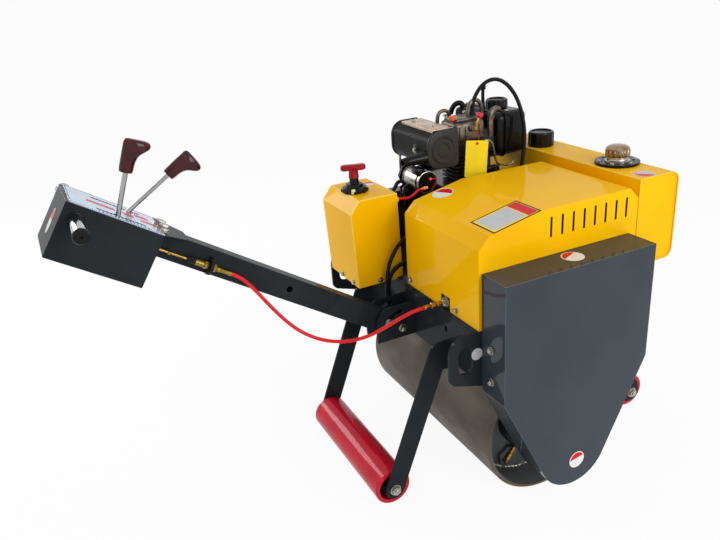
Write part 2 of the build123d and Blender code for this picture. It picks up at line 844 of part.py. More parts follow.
# ---------------------------------------------------------------- handle
guide_path = CenterArc((pivot_x, pivot_z), guide_radius, 180 - handle_slope, -lift_range)
with BuildPart() as handle_ears:
    for face in (handle_y + arm_width / 2 + ear_gap + ear_thick, handle_y - arm_width / 2 - ear_gap):
        with BuildSketch(side_view(face)) as ear:
            with BuildLine():
                Polyline((-beam_face, ear_low), (-beam_face, ear_high), (ear_rear, ear_high),
                         (ear_rear, ear_low), close=True)
            make_face()
            fillet(corner_near(ear, ear_rear, ear_high), ear_round)
            SlotArc(guide_path, guide_slot, mode=Mode.SUBTRACT)
        extrude(amount=ear_thick)
    half = arm_width / 2 + ear_gap + ear_thick
    with BuildSketch(side_view(handle_y + half)):
        with Locations((pivot_x, pivot_z)):
            Circle(pin_radius)
    extrude(amount=2 * half)
    for sign in (1, -1):
        with BuildSketch(side_view(handle_y + sign * half)):
            with Locations((pivot_x, pivot_z)):
                Circle(pin_head)
        extrude(amount=-sign * pin_head_thick)

arm_middle = (arm_low + arm_high) / 2
arm_height = arm_high - arm_low
with BuildPart() as handle_arm:
    with BuildSketch(handle_view(handle_y - arm_width / 2)):
        with Locations((arm_end / 2, arm_middle)):
            Rectangle(arm_end, arm_height)
        with Locations((0, arm_middle)):
            Circle(arm_height / 2)
    extrude(amount=arm_width)
    with BuildSketch(handle_view(handle_y - arm_width / 2 + arm_wall)):
        with Locations((arm_end / 2 + 50, arm_middle)):
            Rectangle(arm_end - 100, arm_height - 2 * arm_wall)
    extrude(amount=arm_width - 2 * arm_wall, mode=Mode.SUBTRACT)
    with BuildSketch(handle_view(handle_y - arm_width / 2)):
        Circle(pin_radius + shaft_fit)
        with Locations(arm_hole[:2]):
            Circle(arm_hole[2])
    extrude(amount=arm_width, mode=Mode.SUBTRACT)
    half = arm_width / 2 + ear_gap + ear_thick + 0.5
    with BuildSketch(handle_view(handle_y - half)):
        with Locations((guide_radius, 0)):
            Circle(6)
    extrude(amount=2 * half)
    for sign in (1, -1):
        with BuildSketch(handle_view(handle_y + sign * half)):
            with Locations((guide_radius, 0)):
                Circle(pin_head - 1)
        extrude(amount=sign * (pin_head_thick - 1))

with BuildPart() as handle_wing:
    with BuildSketch(handle_top(arm_high)):
        with BuildLine():
            Polyline((wing_near, -handle_y - wing_width / 2), (wing_near, -handle_y + wing_width / 2),
                     (control_near, -control_right), (control_near, -control_left), close=True)
        make_face()
    extrude(amount=wing_thick)

with BuildPart() as control_box:
    with BuildSketch(handle_view(control_right)):
        with Locations(((control_near + control_far) / 2, (control_low + control_high) / 2)):
            Rectangle(control_far - control_near, control_high - control_low)
    extrude(amount=control_left - control_right)
    with BuildSketch(handle_view(control_right + sheet)):
        with Locations(((control_near + control_far) / 2, (control_low + control_high) / 2 - sheet)):
            Rectangle(control_far - control_near - 2 * sheet, control_high - control_low)
    extrude(amount=control_left - control_right - 2 * sheet, mode=Mode.SUBTRACT)
    with BuildSketch(handle_top(control_high)):
        with Locations(*[(sum(lever_slot) / 2, -y) for y in lever_tips]):
            SlotOverall(lever_slot[1] - lever_slot[0], lever_slot_width)
    extrude(amount=-sheet, mode=Mode.SUBTRACT)

with BuildPart() as control_panel:
    with BuildSketch(handle_top(control_high)):
        with Locations(((control_near + control_far - panel_rear_margin) / 2,
                        -(control_right + control_left) / 2)):
            Rectangle(control_far - control_near - panel_rear_margin,
                      control_left - control_right - 2 * panel_margin)
        with Locations(*[(sum(lever_slot) / 2, -y) for y in lever_tips]):
            SlotOverall(lever_slot[1] - lever_slot[0], lever_slot_width, mode=Mode.SUBTRACT)
    extrude(amount=panel_thick)

with BuildPart() as control_floor:
    with BuildSketch(handle_top(control_low)):
        with Locations(((control_near + control_far) / 2, -(control_right + control_left) / 2)):
            Rectangle(control_far - control_near - 1, control_left - control_right - 1)
    extrude(amount=-sheet)

with BuildPart() as grips:
    for face, side in ((control_right, -1), (control_left, 1)):
        with BuildSketch(handle_view(face)):
            with Locations((grip_along, grip_up)):
                Circle(grip_radius)
        extrude(amount=side * grip_length)
        with BuildSketch(handle_view(face)):
            with Locations((grip_along, grip_up)):
                Circle(grip_radius - 3)
        extrude(amount=side * (grip_length - grip_plug), mode=Mode.SUBTRACT)

with BuildPart() as levers:
    with BuildSketch(handle_view(control_right + sheet)):
        with Locations(lever_pivot):
            Circle(8)
    extrude(amount=control_left - control_right - 2 * sheet)
    for y, tip in lever_tips.items():
        root, end = Vector(*handle_point(*lever_pivot, y)), Vector(*handle_point(*tip, y))
        with BuildSketch(Plane(origin=root, z_dir=end - root)):
            Circle(lever_rod)
        extrude(amount=(end - root).length)

with BuildPart() as lever_knobs:
    for y, tip in lever_tips.items():
        root, end = Vector(*handle_point(*lever_pivot, y)), Vector(*handle_point(*tip, y))
        along = (end - root).normalized()
        for height, size, shift in ((0, 27, 0), (0.62, 33, 3), (1, 47, 8)):
            place = end + along * (knob_height * height)
            with BuildSketch(Plane(origin=place, x_dir=(0, 1, 0), z_dir=along)):
                with Locations((0, -shift)):
                    RectangleRounded(26 + 6 * height, size, 12)
        loft()

# Control cable: a brass and rubber end along the handle, then a red cable to the hood
cable_up = -16
cable_radius = 5
fitting_steps = [  # from, to (distance from the pivot), radius
    (690, control_near, 3), (672, 690, 7), (645, 672, 8), (630, 645, 11), (567, 630, 6)]
with BuildPart() as cable_fitting:
    for start, end, radius in fitting_steps:
        begin = handle_point(start, cable_up, cable_y)
        with BuildSketch(Plane(origin=begin, z_dir=Vector(*handle_point(end, cable_up, cable_y)) - begin)):
            Circle(radius)
        extrude(amount=end - start)
    with BuildSketch(handle_view(cable_y)):
        with Locations((637, cable_up)):
            Rectangle(10, 30)
    extrude(amount=handle_y - arm_width / 2 - cable_y)

gland_y = -210
gland_z = 626
gland_tip = -316
with BuildPart() as cable_gland:
    with BuildSketch(rear_view(gland_tip)):
        with Locations((gland_y, gland_z)):
            Circle(6)
    extrude(amount=hood_rear + 30 - gland_tip)
    with BuildSketch(rear_view(hood_rear - 12)):
        with Locations((gland_y, gland_z)):
            RegularPolygon(12, 6)
    extrude(amount=12)
    with BuildSketch(rear_view(hood_rear + sheet)):
        with Locations((port_y, plate_top + port_height / 2)):
            Rectangle(port_width + 12, port_height)
    extrude(amount=4)

cable_start = handle_point(567, cable_up, cable_y)
cable_second = handle_point(540, cable_up, cable_y)
control_cable = tube([cable_start, cable_second, (-735, -54, 740), (-700, -62, 683), (-665, -74, 631),
                      (-627, -88, 589), (-576, -106, 557), (-519, -130, 546), (-466, -154, 556),
                      (-419, -178, 583), (-379, -199, 611), (-343, gland_y, gland_z),
                      (gland_tip, gland_y, gland_z)], cable_radius)

# ---------------------------------------------------------------- hoses, pipe, battery cables
hose_high, hose_low = pump_ports
hose_rear, hose_near = block_ports
pump_gland = pump_rear - gland_length
gland_top = block_high + gland_length
upper_y, lower_y = drive_hose_y
upper_hose = tube([(pump_gland, upper_y, hose_high), (pump_gland - 24, upper_y, hose_high),
                   (-152, upper_y, 728), (-192, upper_y, 740), (-235, upper_y, 731),
                   (-265, upper_y, 703), (-286, upper_y, 667), (-297, upper_y, 627),
                   (hose_rear - 2, upper_y, 586), (hose_rear, upper_y, gland_top + 26),
                   (hose_rear, upper_y, gland_top)], hose_radius)
lower_hose = tube([(pump_gland, lower_y, hose_low), (pump_gland - 32, lower_y, hose_low),
                   (-164, lower_y, 657), (-210, lower_y, 652), (-253, lower_y, 643),
                   (-280, lower_y, 618), (hose_near - 1, lower_y, 580),
                   (hose_near, lower_y, gland_top + 24), (hose_near, lower_y, gland_top)],
                  hose_radius)
with BuildPart() as drive_hoses:
    add(upper_hose.part)
    add(lower_hose.part)

stub_x, stub_y, stub_z = breather_stub
end_x, end_y, end_z = breather_end
breather_hose = tube([breather_stub, (stub_x, stub_y, stub_z + 26), (90, 128, 1101), (105, 122, 1124),
                      (127, 115, 1139), (152, 106, 1141), (177, 97, 1127), (199, 87, 1099),
                      (215, 78, 1062), (224, 71, 1020), (228, 65, 976), (224, 60, 930), (214, 57, 884),
                      (202, 55, 838), (192, 53, 790), (186, end_y, 740), (end_x + 1, end_y, 690),
                      (end_x, end_y, end_z + 28), breather_end], hose_radius)

pipe_x, pipe_y, pipe_z = fuel_pipe_start
last_x, last_y, last_z = fuel_pipe_end
fuel_pipe = tube([fuel_pipe_start, (pipe_x + 16, pipe_y, pipe_z), (123, 88, 950), (130, 89, 924),
                  (136, 91, 898), (148, 94, 878), (170, 97, 871), (193, 100, 867), (211, 102, 870),
                  (last_x, last_y, last_z - 12), fuel_pipe_end], fuel_pipe_radius)

cable_x = box_front + 2
red_y, red_z = red_cable_start
black_y, black_z = black_cable_start
red_cable = tube([(cable_x, red_y, red_z), (cable_x + 14, red_y, red_z), (-191, 79, 837), (-169, 82, 842),
                  (red_stud[0] - 14, red_stud[1], red_stud[2]), red_stud], red_cable_radius)
black_cable = tube([(cable_x, black_y, black_z), (cable_x + 12, black_y, black_z), (-197, 144, 857),
                    (black_stud[0] - 14, black_stud[1], black_stud[2]), black_stud], black_cable_radius)
with BuildPart() as battery_cables:
    add(red_cable.part)
    add(black_cable.part)

# ---------------------------------------------------------------- write
pieces = {
    "drum_shell": drum_shell,
    "drum_discs": drum_discs,
    "axle_stubs": axle_stubs,
    "side_plate_right": side_plate_right,
    "side_plate_left": side_plate_left,
    "rear_beam": rear_beam,
    "front_beam": front_beam,
    "deck": deck,
    "side_cover_right": side_cover_right,
    "side_cover_left": side_cover_left,
    "rear_roller_bracket": rear_roller_bracket,
    "rear_roller_sleeve": rear_roller_sleeve,
    "rear_roller_core": rear_roller_core,
    "front_roller_bracket": front_roller_bracket,
    "front_roller_sleeve": front_roller_sleeve,
    "front_roller_core": front_roller_core,
    "hood": hood,
    "tank": tank,
    "tank_brackets": tank_brackets,
    "filler_caps": filler_caps,
    "oil_breather": oil_breather,
    "battery_box": battery_box,
    "battery_tray": battery_tray,
    "battery": battery,
    "battery_switch": battery_switch,
    "engine_mounts": engine_mounts,
    "crankcase": crankcase,
    "cylinder": cylinder,
    "flywheel_housing": flywheel_housing,
    "starter_motor": starter_motor,
    "muffler": muffler,
    "air_filter": air_filter,
    "fuel_tank": fuel_tank,
    "hydraulic_pump": hydraulic_pump,
    "hose_fittings": hose_fittings,
    "handle_ears": handle_ears,
    "handle_arm": handle_arm,
    "handle_wing": handle_wing,
    "control_box": control_box,
    "control_panel": control_panel,
    "control_floor": control_floor,
    "grips": grips,
    "levers": levers,
    "lever_knobs": lever_knobs,
    "cable_fitting": cable_fitting,
    "cable_gland": cable_gland,
    "control_cable": control_cable,
    "drive_hoses": drive_hoses,
    "breather_hose": breather_hose,
    "fuel_pipe": fuel_pipe,
    "battery_cables": battery_cables,
}
for name, piece in pieces.items():
    leaned = piece.part.rotate(drum_axis, -degrees(lean))
    leaned.label = name
    export_step(leaned, f"parts/{name}.step")
print("lean", round(degrees(lean), 3), "nodes", len(pieces))
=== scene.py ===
# Walk-behind single-drum road roller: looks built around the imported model.
import json
import math

import bmesh
import bpy
from mathutils import Matrix, Vector
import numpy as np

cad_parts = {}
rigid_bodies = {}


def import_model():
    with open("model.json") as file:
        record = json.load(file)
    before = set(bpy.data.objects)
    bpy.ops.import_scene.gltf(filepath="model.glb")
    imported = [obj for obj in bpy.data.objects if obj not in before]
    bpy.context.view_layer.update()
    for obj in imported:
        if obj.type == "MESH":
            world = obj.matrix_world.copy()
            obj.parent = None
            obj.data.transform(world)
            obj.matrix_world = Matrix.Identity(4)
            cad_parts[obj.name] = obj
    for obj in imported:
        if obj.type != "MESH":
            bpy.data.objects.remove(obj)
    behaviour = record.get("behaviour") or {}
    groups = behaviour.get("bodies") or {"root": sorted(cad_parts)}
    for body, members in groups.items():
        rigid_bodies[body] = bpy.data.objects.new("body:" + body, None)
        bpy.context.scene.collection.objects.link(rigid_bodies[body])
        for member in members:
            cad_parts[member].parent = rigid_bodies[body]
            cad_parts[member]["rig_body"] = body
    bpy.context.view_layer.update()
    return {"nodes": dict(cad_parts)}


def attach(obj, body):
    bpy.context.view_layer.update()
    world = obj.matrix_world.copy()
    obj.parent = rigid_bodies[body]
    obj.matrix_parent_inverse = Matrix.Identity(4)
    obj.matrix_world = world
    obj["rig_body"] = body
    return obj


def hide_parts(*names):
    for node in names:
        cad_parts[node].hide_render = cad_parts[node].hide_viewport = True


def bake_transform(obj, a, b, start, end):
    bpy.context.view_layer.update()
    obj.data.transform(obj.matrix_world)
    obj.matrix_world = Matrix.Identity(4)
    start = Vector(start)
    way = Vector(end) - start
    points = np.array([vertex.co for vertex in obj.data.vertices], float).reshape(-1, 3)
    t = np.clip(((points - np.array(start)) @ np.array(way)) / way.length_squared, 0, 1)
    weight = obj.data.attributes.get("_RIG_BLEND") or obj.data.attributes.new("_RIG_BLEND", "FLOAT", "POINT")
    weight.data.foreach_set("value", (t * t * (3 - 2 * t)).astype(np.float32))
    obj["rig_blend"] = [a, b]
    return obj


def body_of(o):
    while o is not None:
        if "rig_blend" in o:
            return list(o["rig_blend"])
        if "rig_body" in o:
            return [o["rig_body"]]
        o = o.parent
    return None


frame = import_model()
bpy.ops.object.select_all(action="DESELECT")

# places: the machine is drawn level in millimetres, then leaned back about its drum
lean = {"turn": -4.408635, "drumHeight": 204, "metres": 0.001}
axle = Vector((0, 0, lean["drumHeight"] * lean["metres"]))
toFrame = (Matrix.Translation(axle) @ Matrix.Rotation(math.radians(lean["turn"]), 4, "Y")
           @ Matrix.Translation(-axle) @ Matrix.Scale(lean["metres"], 4))
pivot = {"place": (-301, 0, 492), "slope": math.radians(33.2)}
along = Vector((-math.cos(pivot["slope"]), 0, math.sin(pivot["slope"])))
above = Vector((math.sin(pivot["slope"]), 0, math.cos(pivot["slope"])))
right, left, forward, rearward, upward, downward = (
    Vector(v) for v in ((0, -1, 0), (0, 1, 0), (1, 0, 0), (-1, 0, 0), (0, 0, 1), (0, 0, -1)))


def onHandle(distance, up, y):
    return Vector(pivot["place"]) + along * distance + above * up + left * y


def facing(origin, across, up):
    # a drawing board at a place: its X across, its Y up, its Z out of the board
    across, up = Vector(across).normalized(), Vector(up).normalized()
    out = across.cross(up).normalized()
    return Matrix.Translation(origin) @ Matrix((across, out.cross(across), out)).transposed().to_4x4()


def sideBoard(y):
    # a board across the machine: X forward, Y up, Z to the machine's right
    return facing((0, y, 0), forward, upward)


# camera
view = {"spot": (-1.27325, -1.7099, 1.39274), "turn": (68.7522, 0.0802, -26.1052), "lens": 35.606}
bpy.ops.object.camera_add(location=view["spot"], rotation=[math.radians(a) for a in view["turn"]])
camera = bpy.context.object
camera.data.lens = view["lens"]
camera.data.sensor_width = 36
bpy.context.scene.camera = camera


# materials
def linear(code):
    # sRGB hex to the linear colour that the shaders take
    parts = [int(code[i:i + 2], 16) / 255 for i in (1, 3, 5)]
    return [p / 12.92 if p <= 0.04045 else ((p + 0.055) / 1.055) ** 2.4 for p in parts] + [1]


def addNode(tree, kind, feeds, **settings):
    node = tree.nodes.new("ShaderNode" + kind)
    for key, value in settings.items():
        setattr(node, key, value)
    for socket, value in feeds.items():
        if isinstance(value, bpy.types.NodeSocket):
            tree.links.new(value, node.inputs[socket])
        else:
            node.inputs[socket].default_value = value
    return node


def spots(tree, size, detail, stretch):
    # cloudy pattern whose patches are about this many millimetres wide
    place = addNode(tree, "TexCoord", {}).outputs["Object"]
    if stretch != (1, 1, 1):
        place = addNode(tree, "Mapping", {"Vector": place, "Scale": stretch}).outputs["Vector"]
    cloud = addNode(tree, "TexNoise", {"Vector": place, "Scale": 1000 / size, "Detail": detail, "Roughness": 0.55})
    return cloud.outputs["Fac"]


shaderSockets = {"metal": ["Metallic"], "shine": ["Specular IOR Level"],
                 "coat": ["Coat Weight", "Coat Roughness", "Coat IOR"]}


def makeFinish(name, look):
    material = bpy.data.materials.new(name)
    material.use_nodes = True
    tree = material.node_tree
    shader = tree.nodes["Principled BSDF"]
    for key, names in shaderSockets.items():
        for socket, value in zip(names, look.get(key, ())):
            shader.inputs[socket].default_value = value
    pale, deep, size = look["colour"]
    stretch = look.get("stretch", (1, 1, 1))
    if size:
        shade = addNode(tree, "ValToRGB", {"Fac": spots(tree, size, 4, stretch)})
        ends = shade.color_ramp.elements
        ends[0].position, ends[1].position = 0.32, 0.68
        ends[0].color, ends[1].color = linear(deep), linear(pale)
        tree.links.new(shade.outputs["Color"], shader.inputs["Base Color"])
    else:
        shader.inputs["Base Color"].default_value = linear(pale)
    low, high, size = look["rough"]
    if size:
        rough = addNode(tree, "MapRange", {"Value": spots(tree, size, 3, stretch), "From Min": 0.3, "From Max": 0.7,
                                           "To Min": low, "To Max": high})
        tree.links.new(rough.outputs["Result"], shader.inputs["Roughness"])
    else:
        shader.inputs["Roughness"].default_value = low
    if "bump" in look:
        size, height = look["bump"]
        grain = {"Height": spots(tree, size, 2, stretch), "Strength": 1, "Distance": height / 1000}
        bump = addNode(tree, "Bump", grain)
        tree.links.new(bump.outputs["Normal"], shader.inputs["Normal"])
    finishes[name] = material
    return material


# colour: palest, deepest, patch in mm; rough: least, most, patch in mm; bump: grain in mm, depth in mm
finishes = {}
looks = {
    # baked synthetic enamel, sprayed on folded sheet: deep gloss over a very slight orange peel
    "yellowEnamel": {"colour": ("#FCC200", "#F6B600", 260), "rough": (0.4, 0.5, 120), "bump": (14, 0.008),
        "coat": (0.32, 0.05, 1.3), "shine": (0.02,)},
    # the same enamel in anthracite on the covers: a smooth dark gloss that mirrors what stands on it
    "greyEnamel": {"colour": ("#363E45", "#30373E", 220), "rough": (0.42, 0.55, 90), "bump": (16, 0.004),
        "coat": (0.75, 0.04, 1.32), "shine": (0.04,)},
    # a darker coat of it over frame and handle steel, thinner and less glossy on cut and welded plate
    "frameEnamel": {"colour": ("#282D31", "#212528", 160), "rough": (0.4, 0.55, 60), "bump": (12, 0.008),
        "coat": (0.28, 0.09, 1.3), "shine": (0.01,)},
    # painted highlight: a paler yellow laid on the bevel faces of each fold, standing in for the line of light that a
    # fold catches
    "yellowFoldHighlight": {"colour": ("#FFDC6A", "#FFD65A", 120), "rough": (0.4, 0.5, 120), "coat": (0.32, 0.05, 1.3),
        "shine": (0.02,)},
    # the same painted highlight on the anthracite covers: a paler grey line along each fold
    "greyFoldHighlight": {"colour": ("#6E767D", "#626A70", 120), "rough": (0.42, 0.55, 90), "coat": (0.75, 0.04, 1.32),
        "shine": (0.04,)},
    # thinner satin coat on the muffler's pressed end plates, greyed by heat
    "mufflerEnamel": {"colour": ("#2B2B2A", "#222221", 50), "rough": (0.36, 0.48, 20), "bump": (6, 0.015),
        "coat": (0.12, 0.2, 1.33), "shine": (0.25,)},
    # black heat-proof engine enamel over rough castings and pressings: satin with soft unevenness
    "engineEnamel": {"colour": ("#0B0D10", "#060709", 60), "rough": (0.3, 0.45, 30), "bump": (6, 0.02),
        "coat": (0.55, 0.07, 1.33), "shine": (0.06,)},
    # hot-rolled mild steel, bent and left bare: brown-grey scale in blotches, with rolling marks
    "rolledSteel": {"colour": ("#6B645B", "#4F4941", 130), "rough": (0.45, 0.66, 50), "bump": (3, 0.06),
        "stretch": (1, 0.4, 1), "metal": (0.55,), "shine": (0.3,)},
    # grey primer left on the drum's end discs: flat and a little dusty
    "discPrimer": {"colour": ("#77797A", "#5F6162", 60), "rough": (0.45, 0.6, 30), "bump": (5, 0.05),
        "shine": (0.2,)},
    # cast polyurethane tyre: deep crimson, smooth from its mould with a soft shine
    "crimsonUrethane": {"colour": ("#CE1230", "#B90F28", 70), "rough": (0.34, 0.44, 40), "bump": (5, 0.03),
        "coat": (0.5, 0.07, 1.38), "shine": (0.06,)},
    # extruded red vinyl sleeve: bright and waxy
    "redVinyl": {"colour": ("#E01A1E", "#D01418", 40), "rough": (0.28, 0.36, 15), "shine": (0.25,)},
    # bright zinc plate on steel fasteners: pale warm silver, slightly cloudy
    "zincPlate": {"colour": ("#B9B6AC", "#9D998E", 14), "rough": (0.22, 0.34, 12), "metal": (1,)},
    # chrome plate on a ground rod or tube: a clear mirror
    "chromePlate": {"colour": ("#A9A9AA", "#A0A0A2", 40), "rough": (0.07, 0.1, 30), "metal": (1,)},
    # chrome over pressed ribs, tinted warm brown
    "brownTintedChrome": {"colour": ("#A8937A", "#7C654B", 22), "rough": (0.06, 0.14, 12), "metal": (1,)},
    # turned brass, lightly tarnished
    "turnedBrass": {"colour": ("#B98F45", "#8F6A2C", 12), "rough": (0.24, 0.4, 8), "metal": (1,)},
    # yellow-passivated zinc on the cable's ends: olive gold
    "passivatedZinc": {"colour": ("#A68B3E", "#716022", 10), "rough": (0.26, 0.42, 8), "metal": (1,)},
    # turned phenolic knob, polished: near black wine red under a wet gloss
    "maroonPhenolic": {"colour": ("#480814", "#30050C", 25), "rough": (0.2, 0.28, 20), "coat": (0.9, 0.05, 1.38),
        "shine": (0.04,)},
    # sand-cast aluminium, dulled by heat: dark and grainy
    "castAlloy": {"colour": ("#7A7268", "#504A42", 18), "rough": (0.34, 0.5, 12), "bump": (1.6, 0.07),
        "metal": (0.85,)},
    # grey iron barrel under burnt-on black: almost black, with a dull metal sheen on its fins
    "barrelIron": {"colour": ("#3B3733", "#211F1D", 18), "rough": (0.4, 0.55, 10), "bump": (1.6, 0.06),
        "metal": (0.6,), "shine": (0.2,)},
    # vulcanised rubber hose: deep black with a faint bloom
    "blackRubber": {"colour": ("#121315", "#0B0C0D", 20), "rough": (0.42, 0.58, 12), "bump": (1.5, 0.03),
        "shine": (0.18,)},
    # moulded black ABS, fine-textured in its mould
    "blackAbs": {"colour": ("#0E0F11", "#090A0B", 40), "rough": (0.2, 0.32, 20), "bump": (1.2, 0.012),
        "shine": (0.2,)},
    # red ABS of the switch key, satin
    "redAbs": {"colour": ("#A9141F", "#920F1A", 20), "rough": (0.3, 0.4, 10), "shine": (0.2,)},
    # bright red and orange dipped plastic of small caps and knobs
    "scarletPlastic": {"colour": ("#E0183A", "#D01232", 10), "rough": (0.25, 0.32, 8)},
    "orangePlastic": {"colour": ("#EE5A14", "#E04F0E", 10), "rough": (0.3, 0.38, 8)},
    # satin aluminium film on the control panel: silver with a cool tint and cloudy sheen
    "panelFilm": {"colour": ("#C6D2E4", "#AFC0DA", 70), "rough": (0.16, 0.3, 45), "metal": (0.85,)},
    # printed vinyl stickers, laminated: flat colour under a clear gloss
    "whiteVinyl": {"colour": ("#ECECEA", "#E2E2E0", 30), "rough": (0.22, 0.3, 10), "shine": (0.12,)},
    "greyVinyl": {"colour": ("#C9C8CA", "#C3C2C4", 30), "rough": (0.25, 0.34, 10), "shine": (0.12,)},
    "redSticker": {"colour": ("#DC1A28", "#D01522", 30), "rough": (0.22, 0.3, 10), "shine": (0.12,)},
    "blackSticker": {"colour": ("#17181A", "#121315", 30), "rough": (0.25, 0.34, 10), "shine": (0.12,)},
    # coated card, printed yellow: bright and flat, cockled a little by damp
    "yellowCard": {"colour": ("#FFE500", "#F4D600", 40), "rough": (0.4, 0.5, 20), "bump": (14, 0.15)},
    # bare pressed steel heat shield, browned by the exhaust
    "brownedSteel": {"colour": ("#C6B09A", "#9C8670", 38), "rough": (0.22, 0.36, 20), "metal": (0.9,)},
    # bare copper terminal
    "copper": {"colour": ("#D98B5F", "#B96B44", 6), "rough": (0.25, 0.4, 5), "metal": (1,)},
    # bare weld metal: bright overlapping ripples with dark scale between them
    "weldMetal": {"colour": ("#F0ECE4", "#8E877D", 7), "rough": (0.25, 0.5, 5), "bump": (3, 0.3), "metal": (1,)},
    # cloudy nylon and moulded cream plastic of small parts
    "creamPlastic": {"colour": ("#E6E2B4", "#D8D3A2", 6), "rough": (0.35, 0.45, 5)},
}
for name, look in looks.items():
    makeFinish(name, look)

# the muffler's embossed sheet: fine diamonds, 5 mm on the real sheet and drawn at 8 to show
emboss = finishes["engineEnamel"].copy()
emboss.name = "embossedEnamel"
finishes["embossedEnamel"] = emboss
tree = emboss.node_tree
diamonds = {"turns": (35, -35), "pitch": 8, "depth": 0.0007, "coat": 0.05}
tree.nodes["Principled BSDF"].inputs["Coat Weight"].default_value = diamonds["coat"]
place = addNode(tree, "TexCoord", {}).outputs["Object"]
heights = []
for turn in diamonds["turns"]:
    grid = addNode(tree, "Mapping", {"Vector": place, "Rotation": (math.radians(turn), 0, 0)})
    waves = {"Vector": grid.outputs["Vector"], "Scale": math.tau / 20 * 1000 / diamonds["pitch"]}
    heights.append(addNode(tree, "TexWave", waves, bands_direction="Y").outputs["Fac"])
weave = addNode(tree, "Math", {0: heights[0], 1: heights[1]}, operation="MAXIMUM")
bump = addNode(tree, "Bump", {"Height": weave.outputs["Value"], "Strength": 1, "Distance": diamonds["depth"]})
tree.links.new(bump.outputs["Normal"], tree.nodes["Principled BSDF"].inputs["Normal"])
print("materials", len(finishes))


# making and placing pieces
def alone(piece):
    bpy.ops.object.select_all(action="DESELECT")
    piece.select_set(True)
    bpy.context.view_layer.objects.active = piece
    return piece


def openAll():
    bpy.ops.object.mode_set(mode="EDIT")
    bpy.ops.mesh.select_all(action="SELECT")


def closeMesh():
    bpy.ops.object.mode_set(mode="OBJECT")


def settle(piece, name, finish, body="machine", node=None, smooth=38):
    # puts a finished shape, or a list joined to one, where it belongs, with its place in its mesh
    piece = joined(piece, name) if isinstance(piece, list) else alone(piece)
    piece.name = name
    piece.matrix_world = toFrame @ piece.matrix_world
    bpy.ops.object.transform_apply(location=True, rotation=True, scale=True)
    piece.data.materials.clear()
    piece.data.materials.append(finishes[finish])
    if smooth:
        bpy.ops.object.shade_smooth_by_angle(angle=math.radians(smooth))
    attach(piece, body)
    if node:
        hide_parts(node)
    return piece


def joined(pieces, name):
    alone(pieces[0])
    for piece in pieces:
        piece.select_set(True)
    bpy.ops.object.join()
    bpy.context.object.name = name
    return bpy.context.object


def bevelled(piece, width, segments=2, angle=30):
    alone(piece)
    edge = piece.modifiers.new("edges", "BEVEL")
    edge.width, edge.segments, edge.angle_limit = width, segments, math.radians(angle)
    edge.use_clamp_overlap = True
    bpy.ops.object.modifier_apply(modifier=edge.name)
    return piece


def outwards(piece, nearest=1e-4):
    alone(piece)
    openAll()
    bpy.ops.mesh.remove_doubles(threshold=nearest)
    bpy.ops.mesh.normals_make_consistent(inside=False)
    closeMesh()
    return piece


def laid(piece, board):
    # moves a shape from its drawing board to its place, in level millimetres
    alone(piece)
    piece.matrix_world = board @ piece.matrix_world
    bpy.ops.object.transform_apply(location=True, rotation=True, scale=True)
    return piece


def block(low, high, bevel=1.0, segments=2):
    middle = [(a + b) / 2 for a, b in zip(low, high)]
    bpy.ops.mesh.primitive_cube_add(size=1, location=middle, scale=[b - a for a, b in zip(low, high)])
    piece = bpy.context.object
    bpy.ops.object.transform_apply(location=True, rotation=True, scale=True)
    return bevelled(piece, bevel, segments) if bevel else piece


def plate(outline, depth, board, bevel=0.8, segments=2):
    # an outline drawn on the board, extruded out of it
    bpy.ops.mesh.primitive_circle_add(vertices=len(outline), radius=1, fill_type="NGON")
    piece = bpy.context.object
    for vertex, (x, y) in zip(piece.data.vertices, outline):
        vertex.co = (x, y, 0)
    openAll()
    bpy.ops.mesh.extrude_region_move(TRANSFORM_OT_translate={"value": (0, 0, depth)})
    closeMesh()
    outwards(piece)
    if bevel:
        bevelled(piece, bevel, segments)
    return laid(piece, board)


def turned(rings, board, steps=48):
    # a round shape: rings of (height over the board, radius), each extruded from the last
    height, radius = rings[0]
    bpy.ops.mesh.primitive_circle_add(vertices=steps, radius=radius, fill_type="NGON", location=(0, 0, height))
    piece = bpy.context.object
    openAll()
    for nextHeight, nextRadius in rings[1:]:
        bpy.ops.mesh.extrude_region_move(TRANSFORM_OT_translate={"value": (0, 0, nextHeight - height)})
        scale = nextRadius / radius
        if abs(scale - 1) > 1e-6:
            bpy.ops.transform.resize(value=(scale, scale, 1), center_override=(0, 0, nextHeight))
        height, radius = nextHeight, nextRadius
    closeMesh()
    return laid(outwards(piece), board)


def drawnLine(name, points, radius, detail, steps):
    # a smooth line with a round section, closed at both ends
    line = bpy.data.curves.new(name, "CURVE")
    line.dimensions = "3D"
    spline = line.splines.new("NURBS")
    spline.points.add(len(points) - 1)
    for point, place in zip(spline.points, points):
        point.co = (*place, 1)
    spline.order_u, spline.use_endpoint_u = 3, True
    line.resolution_u = detail
    line.bevel_depth, line.bevel_resolution, line.use_fill_caps = radius, steps, True
    drawn = bpy.data.objects.new(name, line)
    bpy.context.collection.objects.link(drawn)
    return drawn


def pipe(points, radius):
    # a rigid rod or wire along its own line
    alone(drawnLine("pipe", points, radius, 8, 4))
    bpy.ops.object.convert(target="MESH")
    return outwards(bpy.context.object)


def copyOf(piece, place):
    twin = piece.copy()
    twin.data = piece.data.copy()
    bpy.context.collection.objects.link(twin)
    return laid(twin, place)


def repeated(piece, places):
    # copies a shape to each board, and clears the one that it was modelled as
    copies = [copyOf(piece, place) for place in places]
    bpy.data.objects.remove(piece)
    return copies


def ellipse(width, height, steps=40, start=0, end=360):
    count = steps if end - start == 360 else steps + 1
    angles = [math.radians(start + (end - start) * i / steps) for i in range(count)]
    return [(width / 2 * math.cos(a), height / 2 * math.sin(a)) for a in angles]


# cords
def cordCurve(name, points, radius, finish):
    cord = drawnLine(name, [toFrame @ Vector(place) for place in points], radius * lean["metres"], 12, 5)
    cord.data.materials.append(finishes[finish])
    return cord


